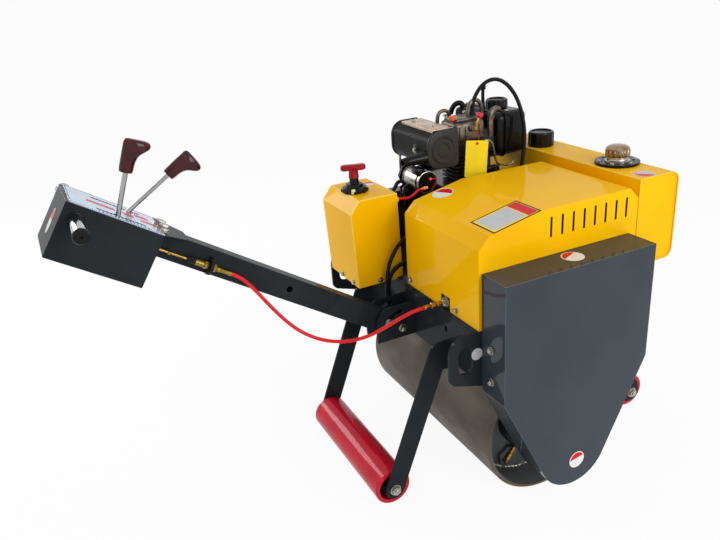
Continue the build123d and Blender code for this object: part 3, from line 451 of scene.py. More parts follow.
def centreline(curve):
    # the points of the curve's own smooth line
    bare = curve.copy()
    bare.data = curve.data.copy()
    bare.data.bevel_depth = 0
    bpy.context.collection.objects.link(bare)
    bpy.context.view_layer.update()
    mesh = bpy.data.meshes.new_from_object(bare)
    points = [v.co.copy() for v in mesh.vertices]
    bpy.data.objects.remove(bare)
    bpy.data.meshes.remove(mesh)
    return points


cordRoutes = {
    "driveHoseUpper": {"node": "drive_hoses", "radius": 6, "stiff": "stiff", "points": [
        (-88, 36, 715), (-112, 36, 715), (-152, 36, 728), (-192, 36, 740), (-235, 36, 731), (-265, 36, 703),
        (-286, 36, 667), (-297, 36, 627), (-301, 36, 586), (-299, 36, 550), (-299, 36, 524)]},
    "driveHoseLower": {"node": "drive_hoses", "radius": 6, "stiff": "stiff", "points": [
        (-88, 50, 665), (-120, 50, 665), (-164, 50, 657), (-210, 50, 652), (-253, 50, 643), (-280, 50, 618),
        (-288, 50, 580), (-287, 50, 548), (-287, 50, 524)]},
    "breatherHose": {"node": "breather_hose", "radius": 6, "stiff": "medium", "points": [
        (80, 132, 1050), (80, 132, 1076), (90, 128, 1101), (105, 122, 1124), (127, 115, 1139), (152, 106, 1141),
        (177, 97, 1127), (199, 87, 1099), (215, 78, 1062), (224, 71, 1020), (228, 65, 976), (224, 60, 930),
        (214, 57, 884), (202, 55, 838), (192, 53, 790), (186, 52, 740), (183, 52, 690), (182, 52, 650),
        (182, 52, 622)]},
    "redBatteryCable": {"node": "battery_cables", "radius": 4, "finish": "redVinyl", "stiff": "medium", "points": [
        (-227, 76, 843), (-213, 76, 843), (-191, 79, 837), (-169, 82, 842), (-150, 84, 855), (-136, 84, 855)]},
    "blackBatteryCable": {"node": "battery_cables", "radius": 6, "stiff": "medium", "points": [
        (-227, 130, 848), (-215, 130, 848), (-197, 144, 857), (-178, 160, 868), (-164, 160, 868)]},
}


def lineLength(points):
    return sum((b - a).length for a, b in zip(points, points[1:]))


for name, cord in cordRoutes.items():
    piece = cordCurve(name, cord["points"], cord["radius"], cord.get("finish", "blackRubber"))
    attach(piece, "machine")
    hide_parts(cord["node"])
    lineLength(centreline(piece))

# the control cable crosses the handle's hinge, so it is a tube that bends with it
controlCable = {"radius": 5, "points": [
    onHandle(567, -16, -50), onHandle(540, -16, -50), (-735, -54, 740), (-700, -62, 683), (-665, -74, 631),
    (-627, -88, 589), (-576, -106, 557), (-519, -130, 546), (-466, -154, 556), (-419, -178, 583), (-379, -199, 611),
    (-343, -210, 626), (-316, -210, 626)]}
piece = cordCurve("controlCable", controlCable["points"][::-1], controlCable["radius"], "redVinyl")
cablePath = centreline(piece)
alone(piece)
bpy.ops.object.convert(target="MESH")
piece = outwards(bpy.context.object, 1e-6)
bpy.ops.object.shade_smooth()
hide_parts("control_cable")
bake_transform(piece, "machine", "handle", start=cablePath[0], end=cablePath[-1])
print("cords", [round(lineLength(cablePath), 3)])


# CAD pieces kept in shape, with their hard edges eased
def isBroad(face):
    return 2 * face.calc_area() / face.calc_perimeter() > 0.01


# bevels of these finishes take a paler twin: a painted highlight along every rounded edge and fold
foldHighlightFinish = {"yellowEnamel": "yellowFoldHighlight", "greyEnamel": "greyFoldHighlight"}


def soften(node, finish, edge=0.8, fold=None):
    # edge: width of the small edges, fold: radius of a bent outer edge between broad faces, both in mm
    source = frame["nodes"][node]
    piece = bpy.data.objects.new(node.replace("_", "-"), source.data.copy())
    bpy.context.collection.objects.link(piece)
    alone(piece)
    if piece.data.has_custom_normals:
        bpy.ops.mesh.customdata_custom_splitnormals_clear()
    openAll()
    bpy.ops.mesh.remove_doubles(threshold=1e-5)
    bpy.ops.mesh.dissolve_limited(angle_limit=math.radians(0.4), use_dissolve_boundaries=False)
    closeMesh()
    shape = bmesh.new()
    shape.from_mesh(piece.data)
    layer = shape.edges.layers.float.new("bevel_weight_edge")
    wide = max(edge, fold or edge)
    for line in shape.edges:
        if len(line.link_faces) != 2:
            continue
        bend = math.degrees(line.calc_face_angle(0))
        broad = all(isBroad(face) for face in line.link_faces)
        if bend < 7 or bend < 24 and not (fold and broad):
            continue
        broad = broad and line.is_convex
        line[layer] = (fold if fold and broad else edge) / wide
    shape.to_mesh(piece.data)
    shape.free()
    rounding = piece.modifiers.new("edges", "BEVEL")
    rounding.limit_method, rounding.width, rounding.segments = "WEIGHT", wide * lean["metres"], 3 if fold else 2
    rounding.use_clamp_overlap = True
    rounding.miter_outer = "MITER_ARC"
    # every bevel face gets the second, paler slot: a painted highlight
    if finish in foldHighlightFinish:
        rounding.material = 1
    piece.data.materials.clear()
    piece.data.materials.append(finishes[finish])
    if finish in foldHighlightFinish:
        piece.data.materials.append(finishes[foldHighlightFinish[finish]])
    bpy.ops.object.modifier_apply(modifier=rounding.name)
    bpy.ops.object.shade_smooth_by_angle(angle=math.radians(38))
    flatten = piece.modifiers.new("shading", "WEIGHTED_NORMAL")
    flatten.keep_sharp = True
    bpy.ops.object.modifier_apply(modifier=flatten.name)
    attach(piece, body_of(source)[0])
    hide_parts(node)
    return piece


softened = {  # node: finish, edge, fold
    "drum_shell": ("rolledSteel", 1.2), "drum_discs": ("discPrimer", 1.5), "axle_stubs": ("frameEnamel", 1.5),
    "side_plate_right": ("frameEnamel", 1.2), "side_plate_left": ("frameEnamel", 1.2),
    "rear_beam": ("frameEnamel", 1, 3), "front_beam": ("frameEnamel", 1, 3), "deck": ("frameEnamel", 1),
    "side_cover_right": ("greyEnamel", 0.8, 2.2), "side_cover_left": ("greyEnamel", 0.8, 2.2),
    "rear_roller_bracket": ("frameEnamel", 1.2), "front_roller_bracket": ("frameEnamel", 1.2),
    "rear_roller_sleeve": ("crimsonUrethane", 1.5), "front_roller_sleeve": ("crimsonUrethane", 1.5),
    "rear_roller_core": ("blackRubber", 0.8), "front_roller_core": ("blackRubber", 0.8),
    "hood": ("yellowEnamel", 0.5, 2.6), "tank": ("yellowEnamel", 0.6, 2), "tank_brackets": ("frameEnamel", 1),
    "battery_box": ("yellowEnamel", 0.5, 2.4), "battery_tray": ("frameEnamel", 1), "battery": ("blackAbs", 2),
    "engine_mounts": ("frameEnamel", 1), "crankcase": ("engineEnamel", 2), "cylinder": ("barrelIron", 1.2),
    "hydraulic_pump": ("castAlloy", 2), "hose_fittings": ("zincPlate", 0.6), "handle_ears": ("frameEnamel", 1.2),
    "handle_arm": ("frameEnamel", 0.6, 3), "handle_wing": ("frameEnamel", 0.6),
    "control_box": ("frameEnamel", 0.5, 1.2), "control_floor": ("frameEnamel", 0.5),
    "control_panel": ("panelFilm", 0.3), "fuel_pipe": ("zincPlate", 0.2),
}


# fasteners: each kind modelled once, then copied to its places
def boltMaster(name, size):
    washer = turned([(0, size["washer"]), (size["thick"], size["washer"]), (size["thick"], size["head"] * 0.9)],
                    Matrix.Identity(4), 28)
    bevelled(washer, 0.3, 1)
    hexagon = ellipse(2 * size["head"], 2 * size["head"], 6)
    head = plate(hexagon, size["tall"], Matrix.Translation((0, 0, size["thick"])), 0)
    bevelled(head, 0.8, 2, 80)
    end = turned([(0, size["shank"]), (size["end"], size["shank"]), (size["end"] + 0.8, size["shank"] - 0.9)],
                 Matrix.Translation((0, 0, size["thick"] + size["tall"] - 0.1)), 20)
    return joined([washer, head, end], name)


def screwMaster(name, size):
    head = turned([(0, size["head"]), (size["tall"] * 0.55, size["head"]), (size["tall"] * 0.85, size["head"] * 0.8),
                   (size["tall"], size["head"] * 0.5), (size["tall"], size["socket"]),
                   (size["tall"] * 0.4, size["socket"])], Matrix.Identity(4), 24)
    head.name = name
    return head


fasteners = {
    "bolt": {"washer": 9.5, "thick": 1.8, "head": 7.6, "tall": 5.5, "shank": 3.8, "end": 0.2},
    "nut": {"washer": 17, "thick": 2, "head": 13.9, "tall": 8, "shank": 8, "end": 3.5},
    "screw": {"head": 6.5, "tall": 5, "socket": 2.6},
}
masters = {kind: (screwMaster if kind == "screw" else boltMaster)(kind, size) for kind, size in fasteners.items()}


def pointing(origin, way=upward):
    # a board whose Z points this way
    way = Vector(way).normalized()
    across = upward if abs(way.z) < 0.9 else forward
    up = way.cross(across).normalized()
    return facing(origin, up.cross(way), up)


def fastened(name, places, body="machine"):
    # places: kind, origin, way, scale
    copies = [copyOf(masters[kind], pointing(origin, way) @ Matrix.Rotation(turn, 4, "Z") @ Matrix.Scale(scale, 4))
              for turn, (kind, origin, way, scale) in enumerate(places)]
    settle(copies, name, "zincPlate", body)


coverBolts = [("bolt", (side * 241, y, z), (side, 0, 0), 1.15)
              for side in (-1, 1) for y, z in ((-412, 567), (-414, 475), (397, 567), (397, 475))]
fastened("frameBolts", coverBolts + [
    ("bolt", (-249, -264, 622), rearward, 1), ("bolt", (-249, -24, 624), rearward, 1),
    ("bolt", (-380.5, 174, 606), rearward, 0.9), ("bolt", (-308, 60, 608), right, 0.9),
    ("bolt", (-380.5, 96, 606), rearward, 0.9), ("bolt", (-308, 262, 608), left, 0.9),
    ("bolt", (-301, -53, 492), right, 1.35), ("bolt", (-301, 29, 492), left, 1.35),
    ("bolt", (270, -264, 622), forward, 1), ("bolt", (270, -60, 622), forward, 1),
    ("nut", (-246, -210, 626), rearward, 0.95)])
fastened("rollerNuts", [
    ("nut", (x, side * 240, z), (0, side, 0), 1) for x, z in ((-450.6, 90), (456, 105)) for side in (-1, 1)])
fastened("guideBolts", [("bolt", onHandle(52, 0, -52.5), right, 1.25)], "handle")
fastened("wingBolts", [
    ("bolt", onHandle(768, 29, -30), above, 1.7), ("bolt", onHandle(771, 29, -62), above, 1.1),
    ("bolt", onHandle(768, 29, 8), above, 1.7)], "handle")
print("fasteners placed")


# stickers and the blank label: thin laminated vinyl, left without any print but its colour fields
def capOutline(width, height, level, steps=28):
    # the part of an oval above this share of its half height
    start = math.degrees(math.asin(level))
    return ellipse(width, height, steps, start, 180 - start)


def sticker(name, centre, across, up, body, width, height, level, turn=0, base="whiteVinyl"):
    board = facing(centre, across, up) @ Matrix.Rotation(math.radians(turn), 4, "Z")
    settle(plate(ellipse(width, height, 48), 0.35, board, 0.12, 1), name, base, body)
    if level is not None:
        raised = board @ Matrix.Translation((0, 0, 0.3))
        settle(plate(capOutline(width * 0.9, height * 0.9, level), 0.2, raised, 0.05, 1), name + "Field",
               "redSticker", body)


slope = Vector((163, 0, 33)).normalized()
sticker("hoodSticker", (-142, -41, 873.4), slope, left, "machine", 62, 62, 0.1, -68)
sticker("coverTopSticker", (10, -413, 765.1), forward, left, "machine", 60, 60, 0.3, 24)
sticker("coverSideSticker", (10, -470.1, 165), forward, upward, "machine", 52, 52, 0.22, 10)
sticker("tankSticker", (318, -340, 910.1), forward, left, "machine", 56, 56, 0.15, 130, base="greyVinyl")
sticker("batterySticker", (-262, 200, 868.1), forward, left, "machine", 40, 40, 0.1, -30)
sticker("controlSticker", onHandle(1005.1, -44, -15), right, above, "handle", 35, 62, 0.2)
sticker("earMark", (-257, -372.1, 543), forward, upward, "machine", 34, 34, None, base="greyVinyl")

label = {"origin": (-217, -316, 858.1), "start": 16, "length": 148, "width": 103, "band": 36}


def labelField(name, inset, start, end, lift, finish):
    board = facing(label["origin"], slope, left) @ Matrix.Translation((label["start"], 0, lift))
    half = label["width"] / 2 - inset
    outline = [(start, -half), (end, -half), (end, half), (start, half)]
    settle(plate(outline, 0.3, board, 0.08, 1), name, finish, smooth=0)


labelField("labelBorder", 0, 0, label["length"], 0, "blackSticker")
labelField("labelFrame", 4.5, 4.5, label["length"] - 4.5, 0.12, "yellowCard")
labelField("labelField", 10, 10, label["length"] - label["band"] - 3, 0.24, "greyVinyl")
labelField("labelBand", 6, label["length"] - label["band"], label["length"] - 6, 0.24, "redSticker")
print("stickers laid")


# battery switch: knurled octagonal base, black collar and a red T-shaped key
switch = {"place": (-326, 158), "low": 868, "sides": 8, "keyTurn": -32, "keyTilt": -3}
board = pointing((*switch["place"], switch["low"]))
base = bevelled(turned([(0, 37), (2, 41), (10, 41), (15, 36), (15, 29), (24, 26), (24, 15)], board, switch["sides"]),
                1.5, 2)
notches = repeated(block((-6, 36, 0), (6, 41.5, 9), 2.5),
                   [board @ Matrix.Rotation(math.radians(22.5 + 45 * i), 4, "Z") for i in range(switch["sides"])])
stem = turned([(22, 18), (26, 14.5), (42, 13.5), (42, 9)], board, 32)
settle([base, *notches, stem], "switchBase", "blackAbs", node="battery_switch", smooth=30)
key = turned([(40, 10.5), (42, 15.5), (52, 14.5), (62, 14), (68, 15)], board, 32)
turn = (Matrix.Rotation(math.radians(switch["keyTurn"]), 4, "Z")
        @ Matrix.Rotation(math.radians(switch["keyTilt"]), 4, "Y"))
bar = plate([(x - 24, y) for x, y in ellipse(28, 28, 14, 90, 270)]
            + [(0, -11.5)] + [(x + 24, y) for x, y in ellipse(28, 28, 14, -90, 90)] + [(0, 11.5)],
            17, board @ Matrix.Translation((0, 0, 64)) @ turn, 0)
bevelled(bar, 6.5, 5, 50)
settle([key, bar], "switchKey", "redAbs", smooth=50)
settle(block((-352, 122, 870), (-340, 128, 884), 1.5), "switchMark", "creamPlastic")
print("switch made")


# muffler: embossed wrap between two pressed end plates, browned shield on top
muffler = {"x": (-126, -18), "z": (910, 1026), "rear": 42, "front": 18}


def roundedBox(low, high, radii, steps=8):
    # outline of a box with a radius for each corner: bottom left, bottom right, top right, top left
    (x0, z0), (x1, z1) = low, high
    corners = [(x0, z0, 1, 1, 180), (x1, z0, -1, 1, 270), (x1, z1, -1, -1, 0), (x0, z1, 1, -1, 90)]
    return [(x + sx * r + r * math.cos(math.radians(start + 90 * i / steps)),
             z + sz * r + r * math.sin(math.radians(start + 90 * i / steps)))
            for (x, z, sx, sz, start), r in zip(corners, radii) for i in range(steps + 1)]


def mufflerOutline(inset):
    rear, front = muffler["rear"] - inset, muffler["front"] - inset
    (x0, x1), (z0, z1) = muffler["x"], muffler["z"]
    return roundedBox((x0 + inset, z0 + inset), (x1 - inset, z1 - inset), (rear, front, front, rear))


shell = plate(mufflerOutline(2.5), 214, sideBoard(282), 0)
settle(shell, "mufflerShell", "embossedEnamel", node="muffler", smooth=30)
ends = [plate(mufflerOutline(0), 10, sideBoard(y), 4.5, 4) for y in (290, 70)]
discs = [turned([(0, 41), (3.4, 39), (3.4, 36), (0.3, 33), (0.3, 23), (2.6, 21), (2.6, 18.6), (0.2, 16.5)],
                pointing((-72, y, 968), way)) for y, way in ((59.6, right), (290.4, left))]
mouth = turned([(0, 21), (10, 18.5), (40, 15.5), (76, 12.2), (77.5, 11.2), (77, 9.4), (30, 9)],
               pointing((-124, 82, 950), (-1, 0, -0.04)), 32)
neck = turned([(0, 24), (3, 24), (3, 17), (12, 17)], pointing((-20, 135, 950), forward), 32)
lug = block((-125, 122, 948), (-118, 150, 980), 3, 2)
settle([*ends, *discs], "mufflerEnds", "mufflerEnamel")
settle([mouth, neck, lug], "mufflerOutlet", "engineEnamel")
shield = [block((-103, 67, 1026.5), (-33, 256, 1028.3), 0.6),
          *[block((x, 70, 1020), (x + 1.6, 253, 1027.5), 0.5) for x in (-103.5, -34)],
          block((-102, 284, 858), (-94, 287, 915), 0.8)]
settle(shield, "heatShield", "brownedSteel")
fastened("mufflerScrews", [
    ("screw", (-78, 226, 1028), upward, 1.1), ("screw", (-69, 117, 1028), upward, 1.1),
    ("bolt", (-126, 136, 963), rearward, 0.85)])
print("muffler made")


# starter motor: plated yoke between a black end cap and a pale nose
starter = {"x": -115, "z": 870}
board = pointing((starter["x"], 88, starter["z"]), left)
yoke = turned([(19, 30), (19, 33.5), (84, 33.5), (86, 31)], board, 56)
rim = turned([(8.5, 31), (8, 34), (0.6, 34), (0, 33.2), (0, 31.6), (7.9, 30.8)], board, 56)
settle([yoke, rim], "starterYoke", "zincPlate", node="starter_motor")
cap = turned([(19.5, 33), (9, 33), (5, 30.6), (5, 14), (1, 12.5), (1, 4)], board, 56)
lugs = [block((starter["x"] - 30, 97, starter["z"] + 24), (starter["x"] - 2, 133, starter["z"] + 44), 3),
        turned([(0, 9), (14, 9), (16, 7)], pointing((starter["x"] - 4, 122, starter["z"] + 34), left), 24),
        plate([(-160, 792), (-104, 792), (-104, 842), (-132, 860), (-160, 850)], 5,
              sideBoard(158), 1),
        plate([(-156, 800), (-112, 800), (-112, 842), (-138, 852), (-156, 842)], 5,
              sideBoard(190), 1),
        turned([(0, 20), (3, 23), (9, 23), (12, 19), (18, 19), (21, 23), (27, 23), (30, 20)],
               pointing((-134, 150, 826), left), 40)]
settle([cap, *lugs], "starterCap", "engineEnamel")
nose = turned([(84, 30), (88, 32), (104, 30), (111, 23), (112, 14)], board, 56)
settle(nose, "starterNose", "castAlloy")
studs = [turned([(0, 7.5), (16, 7.5), (16, 5.4), (21, 5.4)], pointing((-120, y, z), rearward), 6)
         for y, z in ((84, 855), (160, 868))]
terminal = turned([(-6, 6.5), (0, 6.5), (0, 4.5), (5, 4.5), (5.5, 3)], pointing((-106, 86, 878), right), 6)
settle([*studs, terminal], "starterTerminals", "copper", smooth=30)
leadWire = pipe([(-108, 80, 878), (-98, 78, 884), (-88, 80, 876), (-92, 84, 858), (-100, 92, 842)], 1.6)
settle(leadWire, "starterWire", "redVinyl", smooth=60)
print("starter made")


# what stands on the engine
fuelTank = {"low": (150, 100, 900), "high": (267, 320, 1036), "round": 22}
tankShell = block(fuelTank["low"], fuelTank["high"], fuelTank["round"], 8)
seam = plate(roundedBox((94, 894), (326, 1041), (24, 24, 24, 24)), 3.2, facing((177, 0, 0), left, upward), 1)
tankNeck = turned([(0, 27), (6, 27), (8, 24)], pointing((208.5, 185, 1034)), 40)
ventTube = pipe([(158, 185, 1026), (156, 185, 1050), (155, 185, 1080), (156, 185, 1106)], 5.5)
ventCap = turned([(0, 8), (2, 9), (12, 9), (14, 7)], pointing((156, 185, 1100)), 24)
settle([tankShell, seam, tankNeck, ventTube, ventCap],
       "fuelTank", "engineEnamel", node="fuel_tank", smooth=32)
fastened("tankScrews", [("screw", (197, 120, 1036), upward, 1)])


def fluted(radius, depth, count):
    return [((radius - depth * (i % 4 in (2, 3))) * math.cos(math.tau * i / (4 * count)),
             (radius - depth * (i % 4 in (2, 3))) * math.sin(math.tau * i / (4 * count))) for i in range(4 * count)]


def ribbedCap(centre, radius, height, recess, count):
    grip = plate(fluted(radius, 1.8, count), height - 7, pointing((*centre[:2], centre[2] + 3)), 0.5, 1)
    foot = turned([(0, radius - 3), (0.6, radius - 1), (4, radius - 1)], pointing(centre), 56)
    top = turned([(height - 6, radius - 0.8), (height - 2, radius - 2), (height, radius - 5),
                  (height, recess + 2), (height - 2, recess), (height - 9, recess - 1)], pointing(centre), 56)
    cross = block((-recess, -3, height - 10), (recess, 3, height - 4), 1.2)
    return joined([grip, foot, top, laid(cross, Matrix.Translation(centre))], "cap")


caps = (  # centre, radius, height, recess, ribs
    ((320, 98, 910), 41, 47, 31, 14), ((208.5, 185, 1037), 35, 28, 24, 16))
settle([ribbedCap(*cap) for cap in caps], "fillerCaps", "blackAbs", node="filler_caps", smooth=32)

airFilter = turned([(0, 30), (3, 32), (34, 32), (34, 33.5), (38, 33.5), (38, 32), (66, 31), (74, 27), (78, 18),
                    (79, 8), (86, 6), (86, 3)], pointing((108, 214, 972)), 56)
duct = turned([(0, 15), (6, 15), (6, 13), (30, 13), (34, 15), (38, 15)], pointing((80, 178, 994), left), 32)
elbow = pipe([(104, 214, 1040), (100, 216, 1060), (84, 222, 1064), (70, 230, 1052), (66, 236, 1030)], 8.5)
settle([airFilter, duct, elbow], "airFilter", "blackAbs", node="air_filter")

eye = pipe([(64, 135, 1030), (64, 135, 1052), (72, 135, 1076), (90, 135, 1084), (108, 135, 1076), (116, 135, 1052),
            (116, 135, 1030)], 6.5)
loop = pipe([(-6, 200, 1014), (-6, 200, 1034), (2, 200, 1048), (17, 200, 1052), (32, 200, 1048), (40, 200, 1034),
             (40, 200, 1014)], 6)
hook = plate([(107, 972), (122, 972), (123, 1030), (128, 1046), (138, 1051), (150, 1049), (151, 1059), (140, 1064),
              (124, 1061), (112, 1048), (107, 1024)], 14, sideBoard(97), 2.5, 3)
boss = turned([(0, 13), (8, 12), (14, 9.5), (16, 7)], pointing((46, 96, 1011), right), 28)
rocker = [block((-10, 90, 968), (98, 180, 1030), 12, 4), block((0, 100, 1022), (88, 172, 1039), 5, 4)]
ribs = [block((x, 86, 980), (x + 5, 94, 1018), 2) for x in (2, 24, 74)]
settle([eye, loop, hook, boss, *rocker, *ribs], "engineCastings", "castAlloy")

lever = [turned([(0, 7), (2, 8), (6, 8), (8, 6)], pointing((56, 84, 1008), right), 24),
         plate([(-5, 0), (5, 0), (4, 20), (7, 34), (-1, 36), (-4, 20)], 3,
               facing((57, 80, 1006), (1, 0, -0.2), (0.3, 0, 1)), 0.8)]
settle(lever, "decompressionLever", "turnedBrass")
knob = turned([(-9, 5), (-6, 9), (0, 10.5), (5, 9), (8, 5)], pointing((69, 78, 1047), (0.35, 0, 1)), 20)
settle(knob, "decompressionKnob", "scarletPlastic", smooth=60)
oilCap = [turned([(0, 8), (2, 10), (9, 10), (12, 7)], pointing((-8, 112, 1037)), 12),
          block((-16, 109, 1045), (0, 115, 1052), 1.5)]
settle(oilCap, "oilFillCap", "orangePlastic", smooth=40)

valves = [turned([(0, 9), (10, 9), (12, 6), (26, 6), (28, 8), (34, 8), (36, 4)], pointing((x, y, z), way), 16)
          for x, y, z, way in ((112, 84, 846, right), (126, 84, 866, right), (138, 96, 842, right),
                               (118, 70, 826, upward))]
settle([block((96, 80, 800), (146, 100, 880), 5, 3), *valves], "fuelPump", "engineEnamel")

# the card hangs plumb, whatever the machine's lean
plumb = Vector((math.sin(math.radians(-lean["turn"])), 0, math.cos(math.radians(lean["turn"]))))
tag = {"top": (36, 44, 981), "width": 67, "height": 112}
tagAcross = Vector((67, -30, -5)).normalized()
w, h = tag["width"] / 2, tag["height"]
card = plate(roundedBox((-w, -h), (w, 0), (3, 3, 3, 3), 4), 0.7, facing(tag["top"], tagAcross, plumb), 0.15, 1)
settle(card, "warrantyCard", "yellowCard", smooth=0)
eyelet = [turned([(0.5, 4.5), (1.4, 4), (1.4, 2), (0.8, 1.8)],
                 facing(Vector(tag["top"]) - plumb * 9, tagAcross, plumb), 24),
          pipe([(57, 76, 1004), (55, 62, 996), (46, 50, 986), (36, 43.5, 973)], 0.9)]
settle(eyelet, "cardTie", "redVinyl", smooth=60)
print("engine top made")


# oil breather: screwed flange, collar and a faceted plated cap
breather = {"place": (343, -212, 910), "screws": 6, "circle": 50, "flange": 8}
board = pointing(breather["place"])
flange = turned([(0, 62), (0.8, 63), (7.2, 63), (8, 62), (8, 32)], board, 72)
settle(flange, "breatherFlange", "blackAbs")
collar = turned([(7.5, 36), (10, 36), (11.5, 34), (12, 30), (14, 29), (18, 29), (18, 31.5), (22, 31.5)], board, 56)
capRibs = plate(fluted(34.5, 3, 14), 19, board @ Matrix.Translation((0, 0, 22)), 0.9, 2)
capTop = turned([(40, 30), (40.5, 33.4), (44, 33.4), (48, 30.5), (52, 23), (54, 10)], board, 56)
settle(collar, "breatherCollar", "zincPlate")
settle([capRibs, capTop], "breatherCap", "brownTintedChrome", node="oil_breather", smooth=24)
x, y, z = breather["place"]
angles = [math.radians(30 + 360 // breather["screws"] * i) for i in range(breather["screws"])]
fastened("breatherScrews", [
    ("screw", (x + breather["circle"] * math.cos(a), y + breather["circle"] * math.sin(a), z + breather["flange"]),
     upward, 0.95) for a in angles])


# flywheel housing: bell plate, round shroud with a barred air intake
fan = {"place": (42, 298, 742), "bars": 12}
board = pointing(fan["place"], left)
bell = plate([(-63, 631), (-71, 830), (-20, 870), (140, 850), (140, 631)], 14, sideBoard(298), 3,
             3)
shroud = turned([(0, 100), (38, 100), (50, 96), (57, 86), (58, 76), (58, 66), (52, 64), (50, 60), (50, 24), (56, 22),
                 (58, 18), (58, 4)], board, 72)
bars = repeated(block((22, -2.2, 50), (66, 2.2, 57), 1),
                [board @ Matrix.Rotation(math.radians(360 // fan["bars"] * i), 4, "Z") for i in range(fan["bars"])])
ring = turned([(48, 46), (57, 45), (57, 40), (48, 39)], board, 56)
ribs = [block((x, 298, 700), (x + 5, 312, 840), 1.5) for x in (-58, 132)]
settle([bell, shroud, ring, *bars, *ribs], "flywheelShroud", "engineEnamel", node="flywheel_housing")
fastened("engineBolts", [
    ("bolt", (x, 298, z), left, 0.9) for x, z in ((-54, 645), (-58, 810), (128, 645), (128, 838), (-12, 848))] + [
    ("bolt", (x, 70, z), right, 0.9) for x, z in ((60, 640), (128, 640), (128, 760), (60, 820), (128, 830))] + [
    ("bolt", (x, y, 1039), upward, 0.85) for x, y in ((8, 116), (8, 176), (80, 176))])
print("engine sides made")


# lever knobs: a round foot that swells into a beak pointing forward
knobShape = [  # height along the lever, length towards the beak, width, shift towards the beak
    (0, 28, 26, 0), (1.5, 32, 29, 0), (16, 33, 30, 0), (30, 34, 31, 0.5), (42, 39, 32, 3), (50, 48, 33, 7.5),
    (56, 56, 33, 11.5), (62, 61, 33, 14), (69, 62, 32, 14.5), (74, 58, 29, 13.5), (77, 48, 22, 11.5),
    (78, 34, 14, 9.5)]


levers = {"root": (870, -35), "tips": {-64: (907, 128), 38: (790, 146)}}


def leverKnob(y, tip):
    root, end = onHandle(*levers["root"], y), onHandle(*tip, y)
    way = (end - root).normalized()
    board = facing(end, left.cross(way), left)
    bpy.ops.mesh.primitive_circle_add(vertices=28, radius=0.5, fill_type="NGON")
    piece = bpy.context.object
    openAll()
    length, width, shift, height = 1, 1, 0, 0
    for step, (nextHeight, nextLength, nextWidth, nextShift) in enumerate(knobShape):
        if step:
            bpy.ops.mesh.extrude_region_move(
                TRANSFORM_OT_translate={"value": (nextShift - shift, 0, nextHeight - height)})
        bpy.ops.transform.resize(value=(nextLength / length, nextWidth / width, 1),
                                 center_override=(nextShift, 0, nextHeight))
        length, width, shift, height = nextLength, nextWidth, nextShift, nextHeight
    bpy.ops.mesh.inset(thickness=3)
    closeMesh()
    outwards(piece)
    rounding = piece.modifiers.new("round", "SUBSURF")
    rounding.levels = rounding.render_levels = 1
    bpy.ops.object.modifier_apply(modifier=rounding.name)
    return laid(piece, board)


rods = []
for y, tip in levers["tips"].items():
    root, end = onHandle(*levers["root"], y), onHandle(*tip, y)
    rods.append(turned([(0, 6), (12, 6), ((end - root).length + 6, 6)], pointing(root, end - root), 32))
settle(rods, "leverRods", "chromePlate", "handle", node="levers")
knobs = [leverKnob(y, tip) for y, tip in levers["tips"].items()]
settle(knobs, "leverKnobs", "maroonPhenolic", "handle", node="lever_knobs", smooth=60)


# hand grips: plated tube in a black collar, closed by a black plug with a hex hole
for name, y, way in (("Right", -96, right), ("Left", 72, left)):
    board = pointing(onHandle(972, -8, y), way)
    settle(turned([(0, 17.8), (116, 17.8), (117, 17), (117, 12)], board, 48), "grip" + name,
           "chromePlate", "handle")
    collarPiece = turned([(0, 20), (1, 20.4), (3, 20), (4, 18.6), (4, 17.9)], board, 48)
    plug = turned([(116.5, 17.2), (118, 18), (122, 18), (124.5, 16.5), (125, 13), (125, 3.6), (119, 3.4)],
                  board, 48)
    settle([collarPiece, plug], "gripPlug" + name, "blackAbs", "handle")
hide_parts("grips")


# cable end along the arm: rod, boot, sleeve, nuts, clamp and ferrule
cableEnd = {"y": -50, "up": -16.5, "start": 775}
board = facing(onHandle(cableEnd["start"], cableEnd["up"], cableEnd["y"]), right, -above)
rodPieces = [turned([(0, 3), (86, 3)], board, 20), turned([(36, 6.5), (41, 6.5)], board, 6)]
sleevePieces = [turned([(107, 6), (108, 7.8), (130, 7.8), (131, 6)], board, 32),
                turned([(131, 8.2), (132, 9.8), (143, 9.8), (144, 8.2)], board, 6),
                turned([(155, 8.2), (156, 9.8), (165, 9.8), (166, 8.2)], board, 6),
                turned([(166, 5), (168, 6), (176, 6.4), (178, 5.4), (200, 5.2), (201, 6.2), (206, 6.2), (210, 5.2)],
                       board, 32)]
boot = turned([(85, 5), (86, 7.2), (89, 7.8), (91, 7), (94, 7.9), (96, 7.1), (99, 8), (101, 7.2), (108, 7.4)],
              board, 32)
clamp = plate([(-13, -20), (-4, -22)] + [(x + 2, y) for x, y in ellipse(40, 42, 16, -75, 75)] + [(-4, 22), (-13, 24)],
              9, facing(onHandle(622, cableEnd["up"], cableEnd["y"]), right, above), 1.5)
settle(rodPieces, "cableRod", "turnedBrass", "handle")
settle(sleevePieces, "cableSleeve", "passivatedZinc", "handle", node="cable_fitting", smooth=30)
settle([boot, clamp], "cableClamp", "blackRubber", "handle")


# panel print: red strokes between the slots, fine ticks beside the near one, a dark border
def panelMark(start, end, y0, y1):
    board = facing(onHandle(0, 29.05, 0), along, right)
    return plate([(start, y0), (end, y0), (end, y1), (start, y1)], 0.25, board, 0, 1)


redMarks = [panelMark(a, b, c, d) for a, b, c, d in (
    (884, 952, 2, 20), (838, 866, 4, 22), (798, 832, -20, -2), (786, 822, 16, 34), (836, 850, -24, -12))]
ticks = [panelMark(812 + 9 * i, 814.4 + 9 * i, 76, 90 if i % 4 == 0 else 84) for i in range(14)]
border = [panelMark(778, 995, 91.2, 92.6), panelMark(778, 995, -68.6, -67.2), panelMark(994, 995.6, -68, 92)]
settle(redMarks, "panelStrokes", "redSticker", "handle", smooth=0)
settle(ticks + border, "panelTicks", "blackSticker", "handle", smooth=0)
print("handle made")


